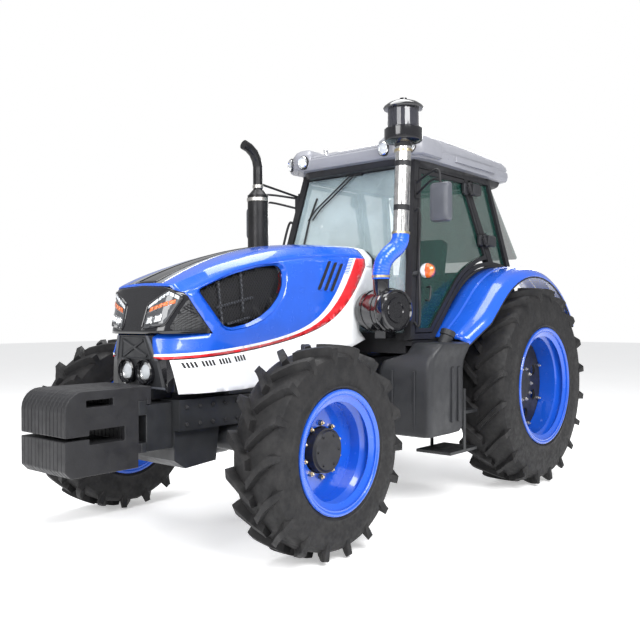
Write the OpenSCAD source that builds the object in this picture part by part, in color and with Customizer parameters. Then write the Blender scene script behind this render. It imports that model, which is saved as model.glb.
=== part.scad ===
// Four-wheel-drive farm tractor with cab, front weights and rear linkage, as separate named pieces.
// Drawn in mm: X forward from the rear axle, Y to the left, Z up from the ground; place() then moves
// the whole machine so that the middle of its length lies over the origin.

/* [Wheels] */
// Distance between the two axles
wheelbase = 2840; // [2400:10:3200]
// Middle of a front tyre from the centre line
front_half_track = 1032; // [950:1:1150]
// Middle of a rear tyre from the centre line
rear_half_track = 992; // [940:1:1100]
// Front tyre radius at the lug tips
front_tyre_r = 650; // [600:1:680]
// Front tyre width
front_tyre_w = 360; // [300:1:400]
// Front rim bead radius (28 inch rim)
front_rim_r = 356; // [300:1:400]
// Rear tyre radius at the lug tips
rear_tyre_r = 860; // [820:1:880]
// Rear tyre width
rear_tyre_w = 470; // [400:1:500]
// Rear rim bead radius (38 inch rim)
rear_rim_r = 483; // [420:1:520]
// Tread lugs on each side of a front tyre
front_lugs = 18; // [14:1:24]
// Tread lugs on each side of a rear tyre
rear_lugs = 20; // [16:1:26]
// Height of a tread lug over the carcass
lug_h = 44; // [30:1:60]

/* [Hood] */
// Top of the hood at its rear end
hood_top = 2045; // [1950:1:2120]
// Greatest half width of the hood
hood_half_w = 425; // [380:1:440]
// Rear end of the hood from the rear axle
hood_rear_x = 1570; // [1550:1:1650]
// Foremost point of the nose from the rear axle
nose_x = 3480; // [3450:1:3520]
// Thickness of the hood and side panels
panel_t = 12; // [8:1:20]

/* [Weights] */
// Front face of the weights from the rear axle
weights_x = 4100; // [4050:1:4200]
// Number of weight plates
weight_count = 12; // [6:2:14]
// Thickness of one weight plate
weight_t = 37; // [30:1:38]
// Distance from one weight plate to the next
weight_pitch = 39.5; // [39:0.5:42]

/* [Cab] */
// Height of the cab door sill
sill_z = 1290; // [1250:1:1330]
// Half width over the cab sides at the sill
sill_half_w = 785; // [760:1:800]
// Inward lean of the cab sides in degrees
cab_lean = 7.2; // [5:0.1:9]
// Top of the roof
roof_top = 3050; // [3000:1:3120]
// Radius of the rear fenders about the axle
fender_r = 1050; // [1020:1:1070]
// Outer edge of the rear fenders from the centre line
fender_out = 1135; // [1100:1:1180]

/* [Linkage] */
// Height of the lower link balls
link_z = 560; // [480:1:640]
// Length of a lower link
link_len = 880; // [800:1:950]
// Length of a lift arm
lift_len = 330; // [280:1:380]
// Radius of the lower link ball bores (category 2)
link_bore_r = 14.35; // [10:0.05:20]
// Radius of the drawbar pin bore
drawbar_bore_r = 16; // [12:0.5:20]
// Radius of the rear power take-off shaft
pto_r = 17.5; // [15:0.5:25]

/* [Hidden] */
$fn = 64;
link_x = -150;
rock_x = -290;
rock_z = 1080;
rear_reach = link_len - link_x + 45;
mid_x = (weights_x - rear_reach) / 2;
kingpin_y = 790;
kingpin_r = 24;
pin_gap = 0.3;
arm_len = 210;
front_flange = 170;
rear_flange = 222;
tub_y = 715;
post_t = 60;
door_t = 45;
glass_t = 8;
door_gap = 8;
hinge_a = 20.85;
hinge_y = 28;
rear_open_a = 17;
hood_hinge = [1695, 1985];
lip_x = nose_x - 80;
seam_z = 1200;
lug_foot = 35;
lug_tip = 21;
lug_sweep = 0.45;
cab_top = roof_top - 305;
rail_z = cab_top - 53;
door_top = cab_top - 55;
blue = [0.06, 0.28, 0.66];
white = [0.90, 0.91, 0.90];
black = [0.06, 0.06, 0.07];
grey = [0.38, 0.40, 0.42];
dark = [0.15, 0.16, 0.17];
steel = [0.72, 0.73, 0.74];
glass = [0.55, 0.72, 0.66];

// Moves a piece from the machine frame to the shared frame.
module place() translate([-mid_x, 0, 0]) children();

// The piece and its mirror image across the centre line.
module pair() {
  children();
  mirror([0, 1, 0]) children();
}

// Round bar between two points.
module bar(p, q, r) {
  v = q - p;
  translate(p) rotate([0, acos(v[2] / norm(v)), atan2(v[1], v[0])]) cylinder(r = r, h = norm(v));
}

// Round bar through a list of points with round elbows.
module pipe_run(pts, r) {
  for (i = [0 : len(pts) - 2]) bar(pts[i], pts[i + 1], r);
  for (i = [1 : 1 : len(pts) - 2]) translate(pts[i]) sphere(r = r);
}

// Ring of points about p, square to direction v, for a swept tube.
function ring(p, v, r, n) =
  let (w = v / norm(v), a = cross(w, abs(w[1]) < 0.9 ? [0, 1, 0] : [0, 0, 1]), e = a / norm(a), g = cross(w, e))
  [for (k = [0 : n - 1]) p + r * cos(360 * k / n) * e - r * sin(360 * k / n) * g];

// FACETED tube along a list of points.
module sweep(pts, r, n) {
  m = len(pts) - 1;
  loft([for (i = [0 : m]) ring(pts[i], pts[min(i + 1, m)] - pts[max(i - 1, 0)], r, n)]);
}

// Flat piece drawn in the X-Z plane between two Y values.
module slab(pts, y0, y1) {
  translate([0, y1, 0]) rotate([90, 0, 0]) linear_extrude(y1 - y0) polygon(pts);
}

// Block between two corners.
module block(a, b) {
  translate(a) cube(b - a);
}

// Round piece along Y between two Y values.
module drum(x, z, r, y0, y1) {
  translate([x, y0, z]) rotate([-90, 0, 0]) cylinder(r = r, h = y1 - y0);
}

// Closed body through a row of equal loops of points, each clockwise seen along the row.
module loft(loops) {
  n = len(loops[0]);
  m = len(loops);
  polyhedron(
    points = [for (l = loops) for (p = l) p],
    faces = concat(
      [[for (i = [n - 1 : -1 : 0]) i]],
      [for (j = [0 : m - 2]) for (i = [0 : n - 1]) each
        [[j * n + i, j * n + (i + 1) % n, (j + 1) * n + i],
         [j * n + (i + 1) % n, (j + 1) * n + (i + 1) % n, (j + 1) * n + i]]],
      [[for (i = [0 : n - 1]) (m - 1) * n + i]]));
}

// Thin pane with four corners, thickened along a given direction.
module pane(a, b, c, d, v) loft([[a, b, c, d], [a + v, b + v, c + v, d + v]]);

// Sits a wheel piece, drawn about Z with +Z outward, on its axle on the left side.
module on_axle(x, y, z) translate([x, y, z]) rotate([-90, 0, 0]) children();
module front_left() on_axle(wheelbase, front_half_track, front_tyre_r) children();
module rear_left() on_axle(0, rear_half_track, rear_tyre_r) children();

// Point at a radius, an angle about the wheel's axis and a distance along it.
function about(r, a, y) = [r * cos(a), r * sin(a), y];

// Cross-section of a tread lug at distance y, turned by a, narrowing from its foot to its tip.
function lug_loop(tip, foot, a, y) =
  [about(foot, a + lug_foot / tip * 57.3, y), about(tip, a + lug_tip / tip * 57.3, y),
   about(tip, a - lug_tip / tip * 57.3, y), about(foot, a - lug_foot / tip * 57.3, y)];

// FACETED tread lug from over the middle line to the shoulder.
module lug(r, w) hull() loft([
  lug_loop(r, r - lug_h - 26, 0, -0.02 * w),
  lug_loop(r - 5, r - lug_h - 46, -lug_sweep * w / r * 57.3, w / 2 - 22)]);

// FACETED tyre: rounded carcass with staggered lugs on both sides of the middle line.
module tyre(r, w, rim, hw, lugs) {
  base = r - lug_h;
  half = [[(rim + 0.4) / cos(180 / lugs), hw - 15], [rim + 0.45 * (base - rim), w / 2 - 4], [base - 6, w / 2 - 16]];
  rotate_extrude($fn = lugs)
    polygon(concat(half, [for (i = [2 : -1 : 0]) [half[i][0], -half[i][1]]]));
  for (k = [0 : lugs - 1]) {
    rotate([0, 0, 90 - lug_tip / r * 57.3 + 360 * k / lugs]) lug(r, w);
    rotate([0, 0, 90 - lug_tip / r * 57.3 + 360 * (k + 0.5) / lugs]) mirror([0, 0, 1]) lug(r, w);
  }
}

// Drop-centre rim with flanges at plus and minus hw.
module rim_ring(rim, hw, well) {
  outer = [[rim + 25, hw], [rim + 25, hw - 9], [rim, hw - 14], [rim, hw - 62], [rim - well, hw - 95]];
  inner = [[rim - well - 10, hw - 101], [rim - 10, hw - 68], [rim - 10, hw]];
  rotate_extrude()
    polygon(concat(
      outer,
      [for (i = [4 : -1 : 0]) [outer[i][0], -outer[i][1]]],
      [for (i = [2 : -1 : 0]) [inner[i][0], -inner[i][1]]],
      inner));
}

module tyre_fl() color(black) front_left() tyre(front_tyre_r, front_tyre_w, front_rim_r, front_flange, front_lugs);
module tyre_fr() color(black) mirror([0, 1, 0]) tyre_fl();
module tyre_rl() color(black) rear_left() tyre(rear_tyre_r, rear_tyre_w, rear_rim_r, rear_flange, rear_lugs);
module tyre_rr() color(black) mirror([0, 1, 0]) tyre_rl();

module rim_fl() color(blue) front_left() {
  rim_ring(front_rim_r, front_flange, 40);
  difference() {
    translate([0, 0, -18]) cylinder(r = front_rim_r - 45, h = 14);
    translate([0, 0, -19]) cylinder(r = 145, h = 16);
  }
}
module rim_fr() color(blue) mirror([0, 1, 0]) rim_fl();

module rim_rl() color(blue) rear_left() {
  rim_ring(rear_rim_r, rear_flange, 45);
  for (a = [0 : 45 : 315]) rotate([0, 0, a])
    translate([375, -45, -60]) cube([rear_rim_r - 50 - 375, 90, 14]);
}
module rim_rr() color(blue) mirror([0, 1, 0]) rim_rl();

// Planetary hub of a front wheel with a blind bore for the spindle.
module hub_fl() color(black) front_left() difference() {
  union() {
    translate([0, 0, -95]) cylinder(r = 137, h = 150);
    translate([0, 0, 55]) cylinder(r1 = 128, r2 = 118, h = 13);
    translate([0, 0, -44]) cylinder(r = 185, h = 26);
  }
  translate([0, 0, -96]) cylinder(r = 60 + pin_gap, h = 86);
}
module hub_fr() color(black) mirror([0, 1, 0]) hub_fl();

// Cast centre of a rear wheel with a blind bore for the axle stub.
module hub_rl() color(black) rear_left() difference() {
  union() {
    translate([0, 0, -46]) cylinder(r = 420, h = 22);
    translate([0, 0, -110]) cylinder(r = 150, h = 90);
    translate([0, 0, -24]) cylinder(r1 = 165, r2 = 135, h = 40);
  }
  for (a = [22.5 : 45 : 337.5]) rotate([0, 0, a]) translate([290, 0, -50]) cylinder(r = 48, h = 30);
  translate([0, 0, -111]) cylinder(r = 58 + pin_gap, h = 80);
}
module hub_rr() color(black) mirror([0, 1, 0]) hub_rl();

// Side rails with the front axle support and the rear hanger of the axle.
module front_frame() color(dark) difference() {
  union() {
    pair() block([1850, 250, 750], [3340, 300, 945]);
    slab([[2960, 750], [2990, 520], [3250, 500], [3340, 560], [3340, 945], [2960, 945]], -250, 250);
    block([2520, -250, 760], [2590, 250, 800]);
    block([2520, -110, 610], [2590, 110, 760]);
  }
  translate([2950, 0, front_tyre_r]) rotate([0, 90, 0]) cylinder(r = 55 + pin_gap, h = 130);
  translate([2510, 0, 700]) rotate([0, 90, 0]) cylinder(r = 60 + pin_gap, h = 90);
}

// Carrier on the front support with the bar that the weights hang on.
module weight_bracket() color(dark) union() {
  block([3340, -230, 640], [3540, 230, 930]);
  block([3540, -236, 870], [3600, 236, 960]);
  block([3540, -236, 640], [3580, 236, 700]);
}

module weight_plate() {
  difference() {
    slab(concat(
      [[3602, 556], [4060, 556], [weights_x, 596]],
      [for (a = [0 : 15 : 90]) [weights_x - 115 + 115 * cos(a), 930 + 115 * sin(a)]],
      [[3506, 1045], [3506, 934], [3537, 934], [3537, 960], [3600, 960], [3600, 702],
       [3580, 702], [3580, 640], [3602, 640]]), -weight_t / 2, weight_t / 2);
    slab([[3700, 735], [3940, 735], [3940, 768], [4120, 768], [4120, 788], [3940, 788], [3940, 820],
      [3700, 820]], -weight_t, weight_t);
    slab([[3780, 950], [3960, 950], [3960, 992], [3780, 992]], -weight_t, weight_t);
  }
}

module front_weights() color(black)
  for (i = [0 : weight_count - 1]) translate([0, (i - (weight_count - 1) / 2) * weight_pitch, 0]) weight_plate();

// Reach of a bracket to the inside of a side panel, over a patch of it.
function panel_in(x, z) =
  let (z0 = panel_low(x), z1 = panel_high(x), w0 = skin_w(x, z0))
  w0 + (skin_w(x, z1) - w0) * (z - z0) / (z1 - z0) - panel_t;
function pad_y(x0, x1, z0, z1) = min([for (x = [x0, x1], z = [z0, z1]) panel_in(x, z)]) - 2.5;

module engine() color(grey) union() {
  block([1900, -250, 745], [2440, 250, 960]);
  block([2430, -250, 830], [2900, 250, 960]);
  block([1900, -285, 950], [2900, 285, 1640]);
  pair() {
    block([2490, 280, 1140], [2520, pad_y(2520, 2490, 1140, 1160), 1160]);
    block([1940, 280, 1290], [1970, pad_y(1970, 1940, 1290, 1310), 1310]);
    slab([[1980, 1600], [1980, 1660], [1720, 2005], [1675, 2005], [1675, 1970], [1900, 1600]], 60, 85);
    drum(hood_hinge[0], hood_hinge[1], 10, 60, 112);
  }
}

module gearbox() color(dark) union() {
  slab([[480, 640], [900, 590], [1900, 640], [1900, 1130], [480, 1130]], -220, 220);
  pair() {
    block([1250, 130, 1120], [1350, 210, 1180]);
    block([1250, 215, 700], [1350, 560, 760]);
  }
}

// Rear axle housing with its trumpets, stub axles and the brackets for the linkage and drawbar.
module rear_axle() color(dark) difference() {
  union() {
    slab([[-230, 640], [-150, 570], [400, 570], [480, 640], [480, 1130], [400, 1165], [-230, 1165]], -260, 260);
    pair() {
      drum(0, rear_tyre_r, 150, 250, 640);
      drum(0, rear_tyre_r, 120, 640, 870);
      drum(0, rear_tyre_r, 58, 860, rear_half_track - 35);
      block([link_x - 45, 320, 500], [link_x + 45, 345, rear_tyre_r]);
      block([link_x - 45, 250, 640], [link_x + 45, 345, 720]);
      drum(link_x, link_z, 15.7, 335, 412);
      block([-325, 25, 910], [-225, 45, 1010]);
      block([rock_x - 55, 150, rock_z - 55], [-225, 185, rock_z + 55]);
      block([60, 130, 1150], [160, 230, 1180]);
    }
  }
  drum(-285, 960, 12.8, -60, 60);
  drum(rock_x, rock_z, 38 + pin_gap, -320, 320);
  translate([-240, 0, 760]) rotate([0, 90, 0]) cylinder(r = pto_r + 4.05, h = 80);
}

// Front axle with its tubes, the kingpin yokes and the drive shaft.
module front_axle() color(dark) difference() {
  union() {
    translate([wheelbase - 130, 0, front_tyre_r]) rotate([0, 90, 0]) cylinder(r = 140, h = 240);
    translate([wheelbase + 100, 0, front_tyre_r]) rotate([0, 90, 0]) cylinder(r = 55, h = 125);
    translate([2500, 0, 700]) rotate([0, 90, 0]) cylinder(r = 60, h = 230);
    translate([1900, 0, 700]) rotate([0, 90, 0]) cylinder(r = 30, h = 610);
    pair() {
      drum(wheelbase, front_tyre_r, 85, 0, 690);
      block([wheelbase - 55, 650, front_tyre_r - 142], [wheelbase + 55, 700, front_tyre_r + 142]);
      for (z = [front_tyre_r - 142, front_tyre_r + 102]) {
        block([wheelbase - 55, 690, z], [wheelbase + 55, kingpin_y, z + 40]);
        translate([wheelbase, kingpin_y, z]) cylinder(r = 55, h = 40);
      }
    }
  }
  pair() translate([wheelbase, kingpin_y, front_tyre_r - 150]) cylinder(r = kingpin_r + pin_gap, h = 300);
}

// Steering knuckle with its kingpins, spindle and steering arm.
module knuckle_left() color(dark) difference() {
  union() {
    translate([wheelbase, kingpin_y, front_tyre_r - 96]) cylinder(r = 72, h = 192);
    translate([wheelbase, kingpin_y, front_tyre_r - 142]) cylinder(r = kingpin_r, h = 284);
    drum(wheelbase, front_tyre_r, 92, kingpin_y, 925);
    drum(wheelbase, front_tyre_r, 60, 920, front_half_track - 20);
    block([wheelbase - arm_len, kingpin_y - 28, 565], [wheelbase - 40, kingpin_y + 28, 595]);
    translate([wheelbase - arm_len, kingpin_y, 565]) cylinder(r = 28, h = 30);
  }
  translate([wheelbase - arm_len, kingpin_y, 560]) cylinder(r = 12 + pin_gap, h = 40);
}
module knuckle_right() color(dark) mirror([0, 1, 0]) knuckle_left();

// Tie rod under the two steering arms.
module tie_rod() color(steel) union() {
  drum(wheelbase - arm_len, 540, 18, -kingpin_y, kingpin_y);
  pair() {
    translate([wheelbase - arm_len, kingpin_y, 520]) cylinder(r = 30, h = 39);
    translate([wheelbase - arm_len, kingpin_y, 530]) cylinder(r = 12, h = 65);
  }
}

// Height of the hood crest, of the brow crease beside it, and of the seam over the white panels, at x.
function along(x) = (x - hood_rear_x) / (lip_x - hood_rear_x);
function crest(x) = hood_top - 30 * along(x) - 343 * pow(along(x), 2.5);
function brow_z(x) = crest(x) - 115 + 30 * pow(along(x), 4);
function back(x) = (nose_x - x) / (nose_x - hood_rear_x);
function seam(x) = seam_z + 50 * back(x) + 270 * pow(back(x), 2) + 377 * pow(back(x), 9);

// Half widths of the hood at its belt and at the brow crease.
function belt_w(x) = lookup(x, [[hood_rear_x, hood_half_w], [3050, hood_half_w - 15], [3250, 372],
  [lip_x, 292], [nose_x, 190]]);
function brow_w(x) = lookup(x, [[hood_rear_x, hood_half_w - 45], [2500, hood_half_w - 63],
  [3100, hood_half_w - 73], [3320, 340], [lip_x, 280], [nose_x, 150]]);

// Half width of the hood and side panels at height z.
function skin_w(x, z) = belt_w(x) - (belt_w(x) - brow_w(x)) * max(0, (z - 1450) / (brow_z(x) - 1450))
  + 6 * max(0, 1 - pow((z - 1220) / 240, 2));

// Half section of the hood from the crest down to height z0, moved inward by d.
function hood_half(x, z0, d) =
  let (c = crest(x) - d, s = brow_w(x) - d, zs = brow_z(x) - d)
  concat([[0, c], [s * 0.45, c - 10], [s * 0.8, c - 42], [s, zs]],
    [for (k = [0.33, 0.67, 1]) let (z = zs + k * (z0 - zs)) [skin_w(x, z) - d, z]]);

hood_x = [for (i = [0 : 12]) hood_rear_x + 90 + i * (nose_x - hood_rear_x - 90) / 12];
panel_x = concat([hood_rear_x], [for (i = [0 : 11]) hood_x[i]], [nose_x - 90]);

// Thin slice of the hood at station x, closed below at height z0.
module hood_slice(x, z0, d) {
  h = hood_half(x, z0, d);
  translate([x, 0, 0]) rotate([90, 0, 90]) linear_extrude(0.2)
    polygon(concat(h, [for (k = [len(h) - 1 : -1 : 1]) [-h[k][0], h[k][1]]]));
}

// Lower edge of the hood at station x.
function hood_low(x) = min(seam(x) + 6, brow_z(x) - 50);

module hood_body(d, drop) for (i = [0 : 11]) hull() {
  hood_slice(hood_x[i] - (i == 0 ? drop : 0), hood_low(hood_x[i]) - drop, d);
  hood_slice(hood_x[i + 1] + (i == 11 ? drop : 0), hood_low(hood_x[i + 1]) - drop, d);
}

// Cuts an outline drawn in the X-Z plane through both sides of the hood.
module side_cut() translate([0, 500, 0]) rotate([90, 0, 0]) linear_extrude(1000) children();

// Outline of the cooling window in the hood's side.
module hood_window() polygon([[3235, 1640], [2905, 1770], [2551, 1825], [2500, 1795], [2511, 1689], [2560, 1610],
  [2640, 1530], [2739, 1466], [2860, 1425], [3000, 1402], [3060, 1410]]);

// Three raked louvre slots behind the window.
module hood_louvres() for (k = [0 : 2])
  translate([2080 - 66 * k, 0]) polygon([[0, 1662], [30, 1668], [-90, 1870], [-124, 1866]]);

// FACETED smooth crowned panel, open below and at both ends.
module hood_shell() color(blue) difference() {
  union() {
    difference() {
      hood_body(0, 0);
      hood_body(panel_t, 30);
    }
    pair() block([1675, 90, hood_hinge[1] - 25], [1715, 108, crest(1695) - 8]);
  }
  drum(hood_hinge[0], hood_hinge[1], 10 + pin_gap, -130, 130);
  slab([[3145, 1364], [3600, 1364], [3600, 1800], [3398, 1800], [3398, 1655], [3290, 1655]], -500, 500);
  block([3395, -270, 1000], [3600, 270, 1364]);
  side_cut() hood_window();
  side_cut() hood_louvres();
}

// FACETED grille behind the hood windows, a thin skin inside the panel with upright slots.
module hood_grille() pair() difference() {
  intersection() {
    difference() {
      hood_body(panel_t + 0.6, 30);
      hood_body(panel_t + 8, 30);
    }
    translate([0, 500, 0]) rotate([90, 0, 0]) linear_extrude(400) offset(delta = 18) hood_window();
  }
  side_cut() intersection() {
    offset(delta = -12) hood_window();
    for (i = [5 : 10], k = [0 : 2]) translate([hood_x[i] + 14 + 46 * k, 1380]) square([34, 480]);
  }
}

// FACETED outline of the nose, used for the mask between two heights.
module nose_outline(z, half, d) translate([0, 0, z]) linear_extrude(1)
  polygon(concat([for (p = half) [p[0] - (p[0] > 3340 ? d : -d), p[1] - d]],
    [for (i = [3 : -1 : 0]) [half[i][0] - (half[i][0] > 3340 ? d : -d), -half[i][1] + d]]));

module nose_block(d) hull() {
  nose_outline(1364, [[3150, 400], [3310, 352], [3420, 270], [nose_x, 160]], d);
  nose_outline(1653, [[3320, 345], [3362, 318], [lip_x - 5, 270], [lip_x + 5, 190]], d);
}

// FACETED front mask as a shell behind the outline of the nose.
module nose_shell() difference() {
  nose_block(0);
  translate([-40, 0, -5]) nose_block(25);
}

// Outline of the left headlamp seen from the front, cut straight back through the mask.
module lamp_outline() polygon([[108, 1392], [262, 1420], [320, 1592], [266, 1624], [122, 1540]]);
module lamp_body(d) translate([3200, 0, 0]) rotate([90, 0, 90]) linear_extrude(300) offset(delta = d) lamp_outline();

module nose_mask() color(black) union() {
  difference() {
    nose_shell();
    pair() lamp_body(0.8);
  }
  hood_grille();
}

module headlamps() color(steel) pair() intersection() {
  lamp_body(0);
  nose_shell();
}

// Outline across the machine, given for the left half, between two X values.
module across(half, x0, x1) translate([x0, 0, 0]) rotate([90, 0, 90]) linear_extrude(x1 - x0)
  polygon(concat(half, [for (i = [len(half) - 1 : -1 : 0]) [-half[i][0], half[i][1]]]));

// Lower nose panel with its crossed web and its two round work lamps.
module lamp_panel() color(black) union() {
  difference() {
    intersection() {
      slab([[3400, 1010], [3435, 1010], [3478, 1356], [3400, 1356]], -300, 300);
      across([[262, 1010], [235, 1190], [168, 1352]], 3390, 3490);
    }
    intersection() {
      slab([[3424, 1205], [3500, 1205], [3500, 1332], [3438, 1332]], -300, 300);
      across([[170, 1208], [128, 1330]], 3400, 3500);
    }
    for (y = [-93, 93]) translate([3424, y, 1122]) rotate([0, 90, 0]) cylinder(r = 66, h = 60);
  }
  block([3250, -120, 945], [3405, 120, 1330]);
  pair() bar([3434, -118, 1226], [3446, 118, 1312], 9);
  for (y = [-93, 93]) translate([3420, y, 1122]) rotate([0, 90, 0]) cylinder(r = 52, h = 30);
}

// Lower and upper edge of the white side panels.
function panel_low(x) = lookup(x, [[1570, 1290], [2250, 1120], [2500, 1010], [nose_x, 985]]);
function panel_high(x) = min(seam(x), brow_z(x) - 60);

// Thin slice of the left white side panel at station x.
module panel_slice(x) {
  w = [for (z = [panel_low(x), (panel_low(x) + panel_high(x)) / 2, panel_high(x)]) [skin_w(x, z), z]];
  translate([x, 0, 0]) rotate([90, 0, 90]) linear_extrude(0.2)
    polygon(concat(w, [for (k = [2, 1, 0]) w[k] - [panel_t, 0]]));
}

// FACETED white side panels below the hood, with the upswept rear edge.
module side_panels() color(white) pair() for (i = [0 : 12]) hull() {
  panel_slice(panel_x[i]);
  panel_slice(panel_x[i + 1]);
}

// Intake filter canister beside the hood with its outlet pipe and bracket.
module air_cleaner() color(black) union() {
  drum(1625, 1520, 160, 470, 790);
  drum(1625, 1520, 120, 785, 812);
  block([1465, 540, 1300], [1600, 640, 1420]);
  bar(neck_a, neck_b, 60);
}

neck_a = [1640, 720, 1590];
neck_b = [1745, 740, 1690];
hose_end = [1622, 750, 2050];

// FACETED blue elbow from the canister up to the stainless pipe.
module intake_hose() color(blue)
  sweep([neck_b + 0.003 * (neck_b - neck_a), neck_b + 0.25 * (neck_b - neck_a), [1780, 748, 1775], [1752, 750, 1850],
    [1700, 750, 1940], hose_end - [-20, 0, 44], hose_end], 64, 20);

// FACETED stainless pipe leaning back beside the windscreen.
module intake_pipe() color(steel)
  sweep([hose_end + [-0.1, 0, 0.22], hose_end + [-20, 0, 44], [1575, 750, 2200], [1516, 750, 2700], [1512, 750, 2740],
    [1512, 750, 2800]], 61, 20);

// Dust bowl with its mushroom cap.
module pre_cleaner() color(black) translate([1512, 750, 0]) union() {
  translate([0, 0, 2800.5]) cylinder(r = 64, h = 60);
  translate([0, 0, 2830]) cylinder(r1 = 110, r2 = 145, h = 50);
  translate([0, 0, 2880]) cylinder(r = 140, h = 140);
  translate([0, 0, 3020]) cylinder(r = 150, h = 30);
  translate([0, 0, 3050]) cylinder(r1 = 150, r2 = 70, h = 95);
}

// Silencer and tail pipe on the right with a stay to the cab and a bracket to the engine.
module exhaust() color(dark) union() {
  translate([1575, -750, 1460]) cylinder(r = 92, h = 1080);
  translate([1575, -750, 2535]) cylinder(r1 = 92, r2 = 50, h = 50);
  sweep([[1575, -750, 2560], [1575, -750, 2790], [1590, -750, 2850], [1625, -752, 2905], [1680, -756, 2945],
    [1740, -760, 2965]], 43, 16);
  bar([1575, -750, 2650], [1155, -640, 2560], 10);
  mirror([0, 1, 0]) cab_side() block([1135, 0, up(2530)], [1172, 14, up(2590)]);
  sweep([[1575, -750, 1480], [1575, -750, 1260], [1590, -725, 1190], [1650, -660, 1150], [1850, -400, 1150],
    [1930, -330, 1150], [1950, -310, 1150], [1950, -285, 1150]], 40, 16);
}

// Moulded tank body with a flared top and a step recess behind it.
module tank_body() union() {
  slab([[1105, 600], [1150, 560], [1590, 560], [1620, 600], [1608, 1000], [1600, 1120], [1560, 1240], [1500, 1270],
    [1135, 1270], [1112, 1200]], 795, 1050);
  slab([[1105, 600], [1150, 560], [1590, 560], [1620, 600], [1600, 1120], [1112, 1120]], 560, 800);
}

module fuel_tank() color(black) union() {
  tank_body();
  bar([1450, 960, 1250], [1450, 990, 1300], 45);
  bar([1450, 989, 1297], [1450, 1002, 1322], 58);
}

module side_box() color(black) mirror([0, 1, 0]) tank_body();

// Boarding steps below and behind the tanks.
module steps() color(black) pair() union() {
  block([885, 720, 700], [1090, 1030, 725]);
  block([885, 720, 400], [1300, 1030, 425]);
  for (y = [720, 1018]) block([1060, y, 410], [1095, y + 12, 900]);
  block([1060, 220, 800], [1095, 730, 850]);
}

// Cab floor with the inner wheel-house walls, the rear bulkhead and the front cowl.
function house_arc(r, a0, a1) = [for (a = [a0 : (a1 - a0) / 16 : a1]) [r * cos(a), rear_tyre_r + r * sin(a)]];

module cab_tub() color(dark) union() {
  block([-340, -tub_y, 1180], [1440, tub_y, 1212]);
  pair() slab(concat([[-340, 1180]], house_arc(fender_r + 10, 108.7, 50), [[1118, sill_z], [1440, sill_z], [1440, 1180]]),
    tub_y - 25, tub_y);
  pair() block([1135, tub_y - 5, 1240], [1440, sill_half_w - 8, sill_z - 8]);
  block([-340, -tub_y, 1180], [-315, tub_y, rear_tyre_r + 995]);
  block([1415, -tub_y, 1180], [1440, tub_y, sill_z]);
}

// Cab side plane: drawn flat in X-Z with heights along the slope, then leaned inward.
function up(z) = (z - sill_z) / cos(cab_lean);
module cab_side() translate([0, sill_half_w, sill_z]) rotate([cab_lean, 0, 0]) children();
module side_plate(pts, depth, t) slab([for (p = pts) [p[0], up(p[1])]], -depth - t, -depth);

function front_edge(z, d) = 1475 - (z - sill_z) * 0.2375 - d;
function hinge_edge(z, d) = 345 - (door_top - z) * tan(hinge_a) + d;
function rear_edge(z, d) = -120 - (cab_top - z) * 0.287 + d;
function low_edge(k, lift, from) = concat(
  [for (a = [84 : -2 : 50]) let (r = fender_r + k + lift * max(0, (a - 70) / 14)) if (r * cos(a) > from)
    [r * cos(a), rear_tyre_r + r * sin(a)]],
  [[(fender_r + k) * cos(50) + (rear_tyre_r + (fender_r + k) * sin(50) - sill_z - k + 10) / tan(40), sill_z + k - 10]]);

// Extra room below the door beside its hinge, where its inner edge dips as it swings.
function swing_lift(d) = d > 0 ? 16 : 0;
function door_low(d) = rear_tyre_r + fender_r + 52 + d + swing_lift(d);

// Outline of the door opening, or of a door that leaves a gap d all round.
function door_outline(d) = concat(
  [[front_edge(door_top - d, 60 + d), door_top - d], [hinge_edge(door_top - d, d), door_top - d]],
  [[hinge_edge(door_low(d), d + 4), door_low(d)]],
  low_edge(55 + d, swing_lift(d), hinge_edge(door_low(d), d + 16)),
  [[front_edge(sill_z + 45 + d, 60 + d), sill_z + 45 + d]]);

// Door hinge position in the cab side plane, at height z, with Z along the hinge.
hinge_lean = atan(tan(hinge_a) * cos(cab_lean));
module on_hinge(z) translate([hinge_edge(z, 4), hinge_y, up(z)]) rotate([0, hinge_lean, 0]) children();

// Two ears and the pin of a door hinge, on the hinge post.
module hinge_post() for (z = [door_top - 540, door_top - 90]) on_hinge(z) {
  translate([0, 0, -55]) cylinder(r = 10, h = 110);
  for (k = [-55, 32]) {
    translate([0, 0, k]) cylinder(r = 20, h = 23);
    translate([-46, -hinge_y - 2, k]) cube([46, hinge_y + 12, 23]);
  }
}

// Barrel and strap of a door hinge, on the door.
module hinge_strap() for (z = [door_top - 540, door_top - 90]) on_hinge(z) difference() {
  union() {
    translate([0, 0, -30]) cylinder(r = 20, h = 60);
    translate([6, -hinge_y - 2, -30]) cube([40, hinge_y + 12, 60]);
  }
  translate([0, 0, -31]) cylinder(r = 10 + pin_gap, h = 62);
}

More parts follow.
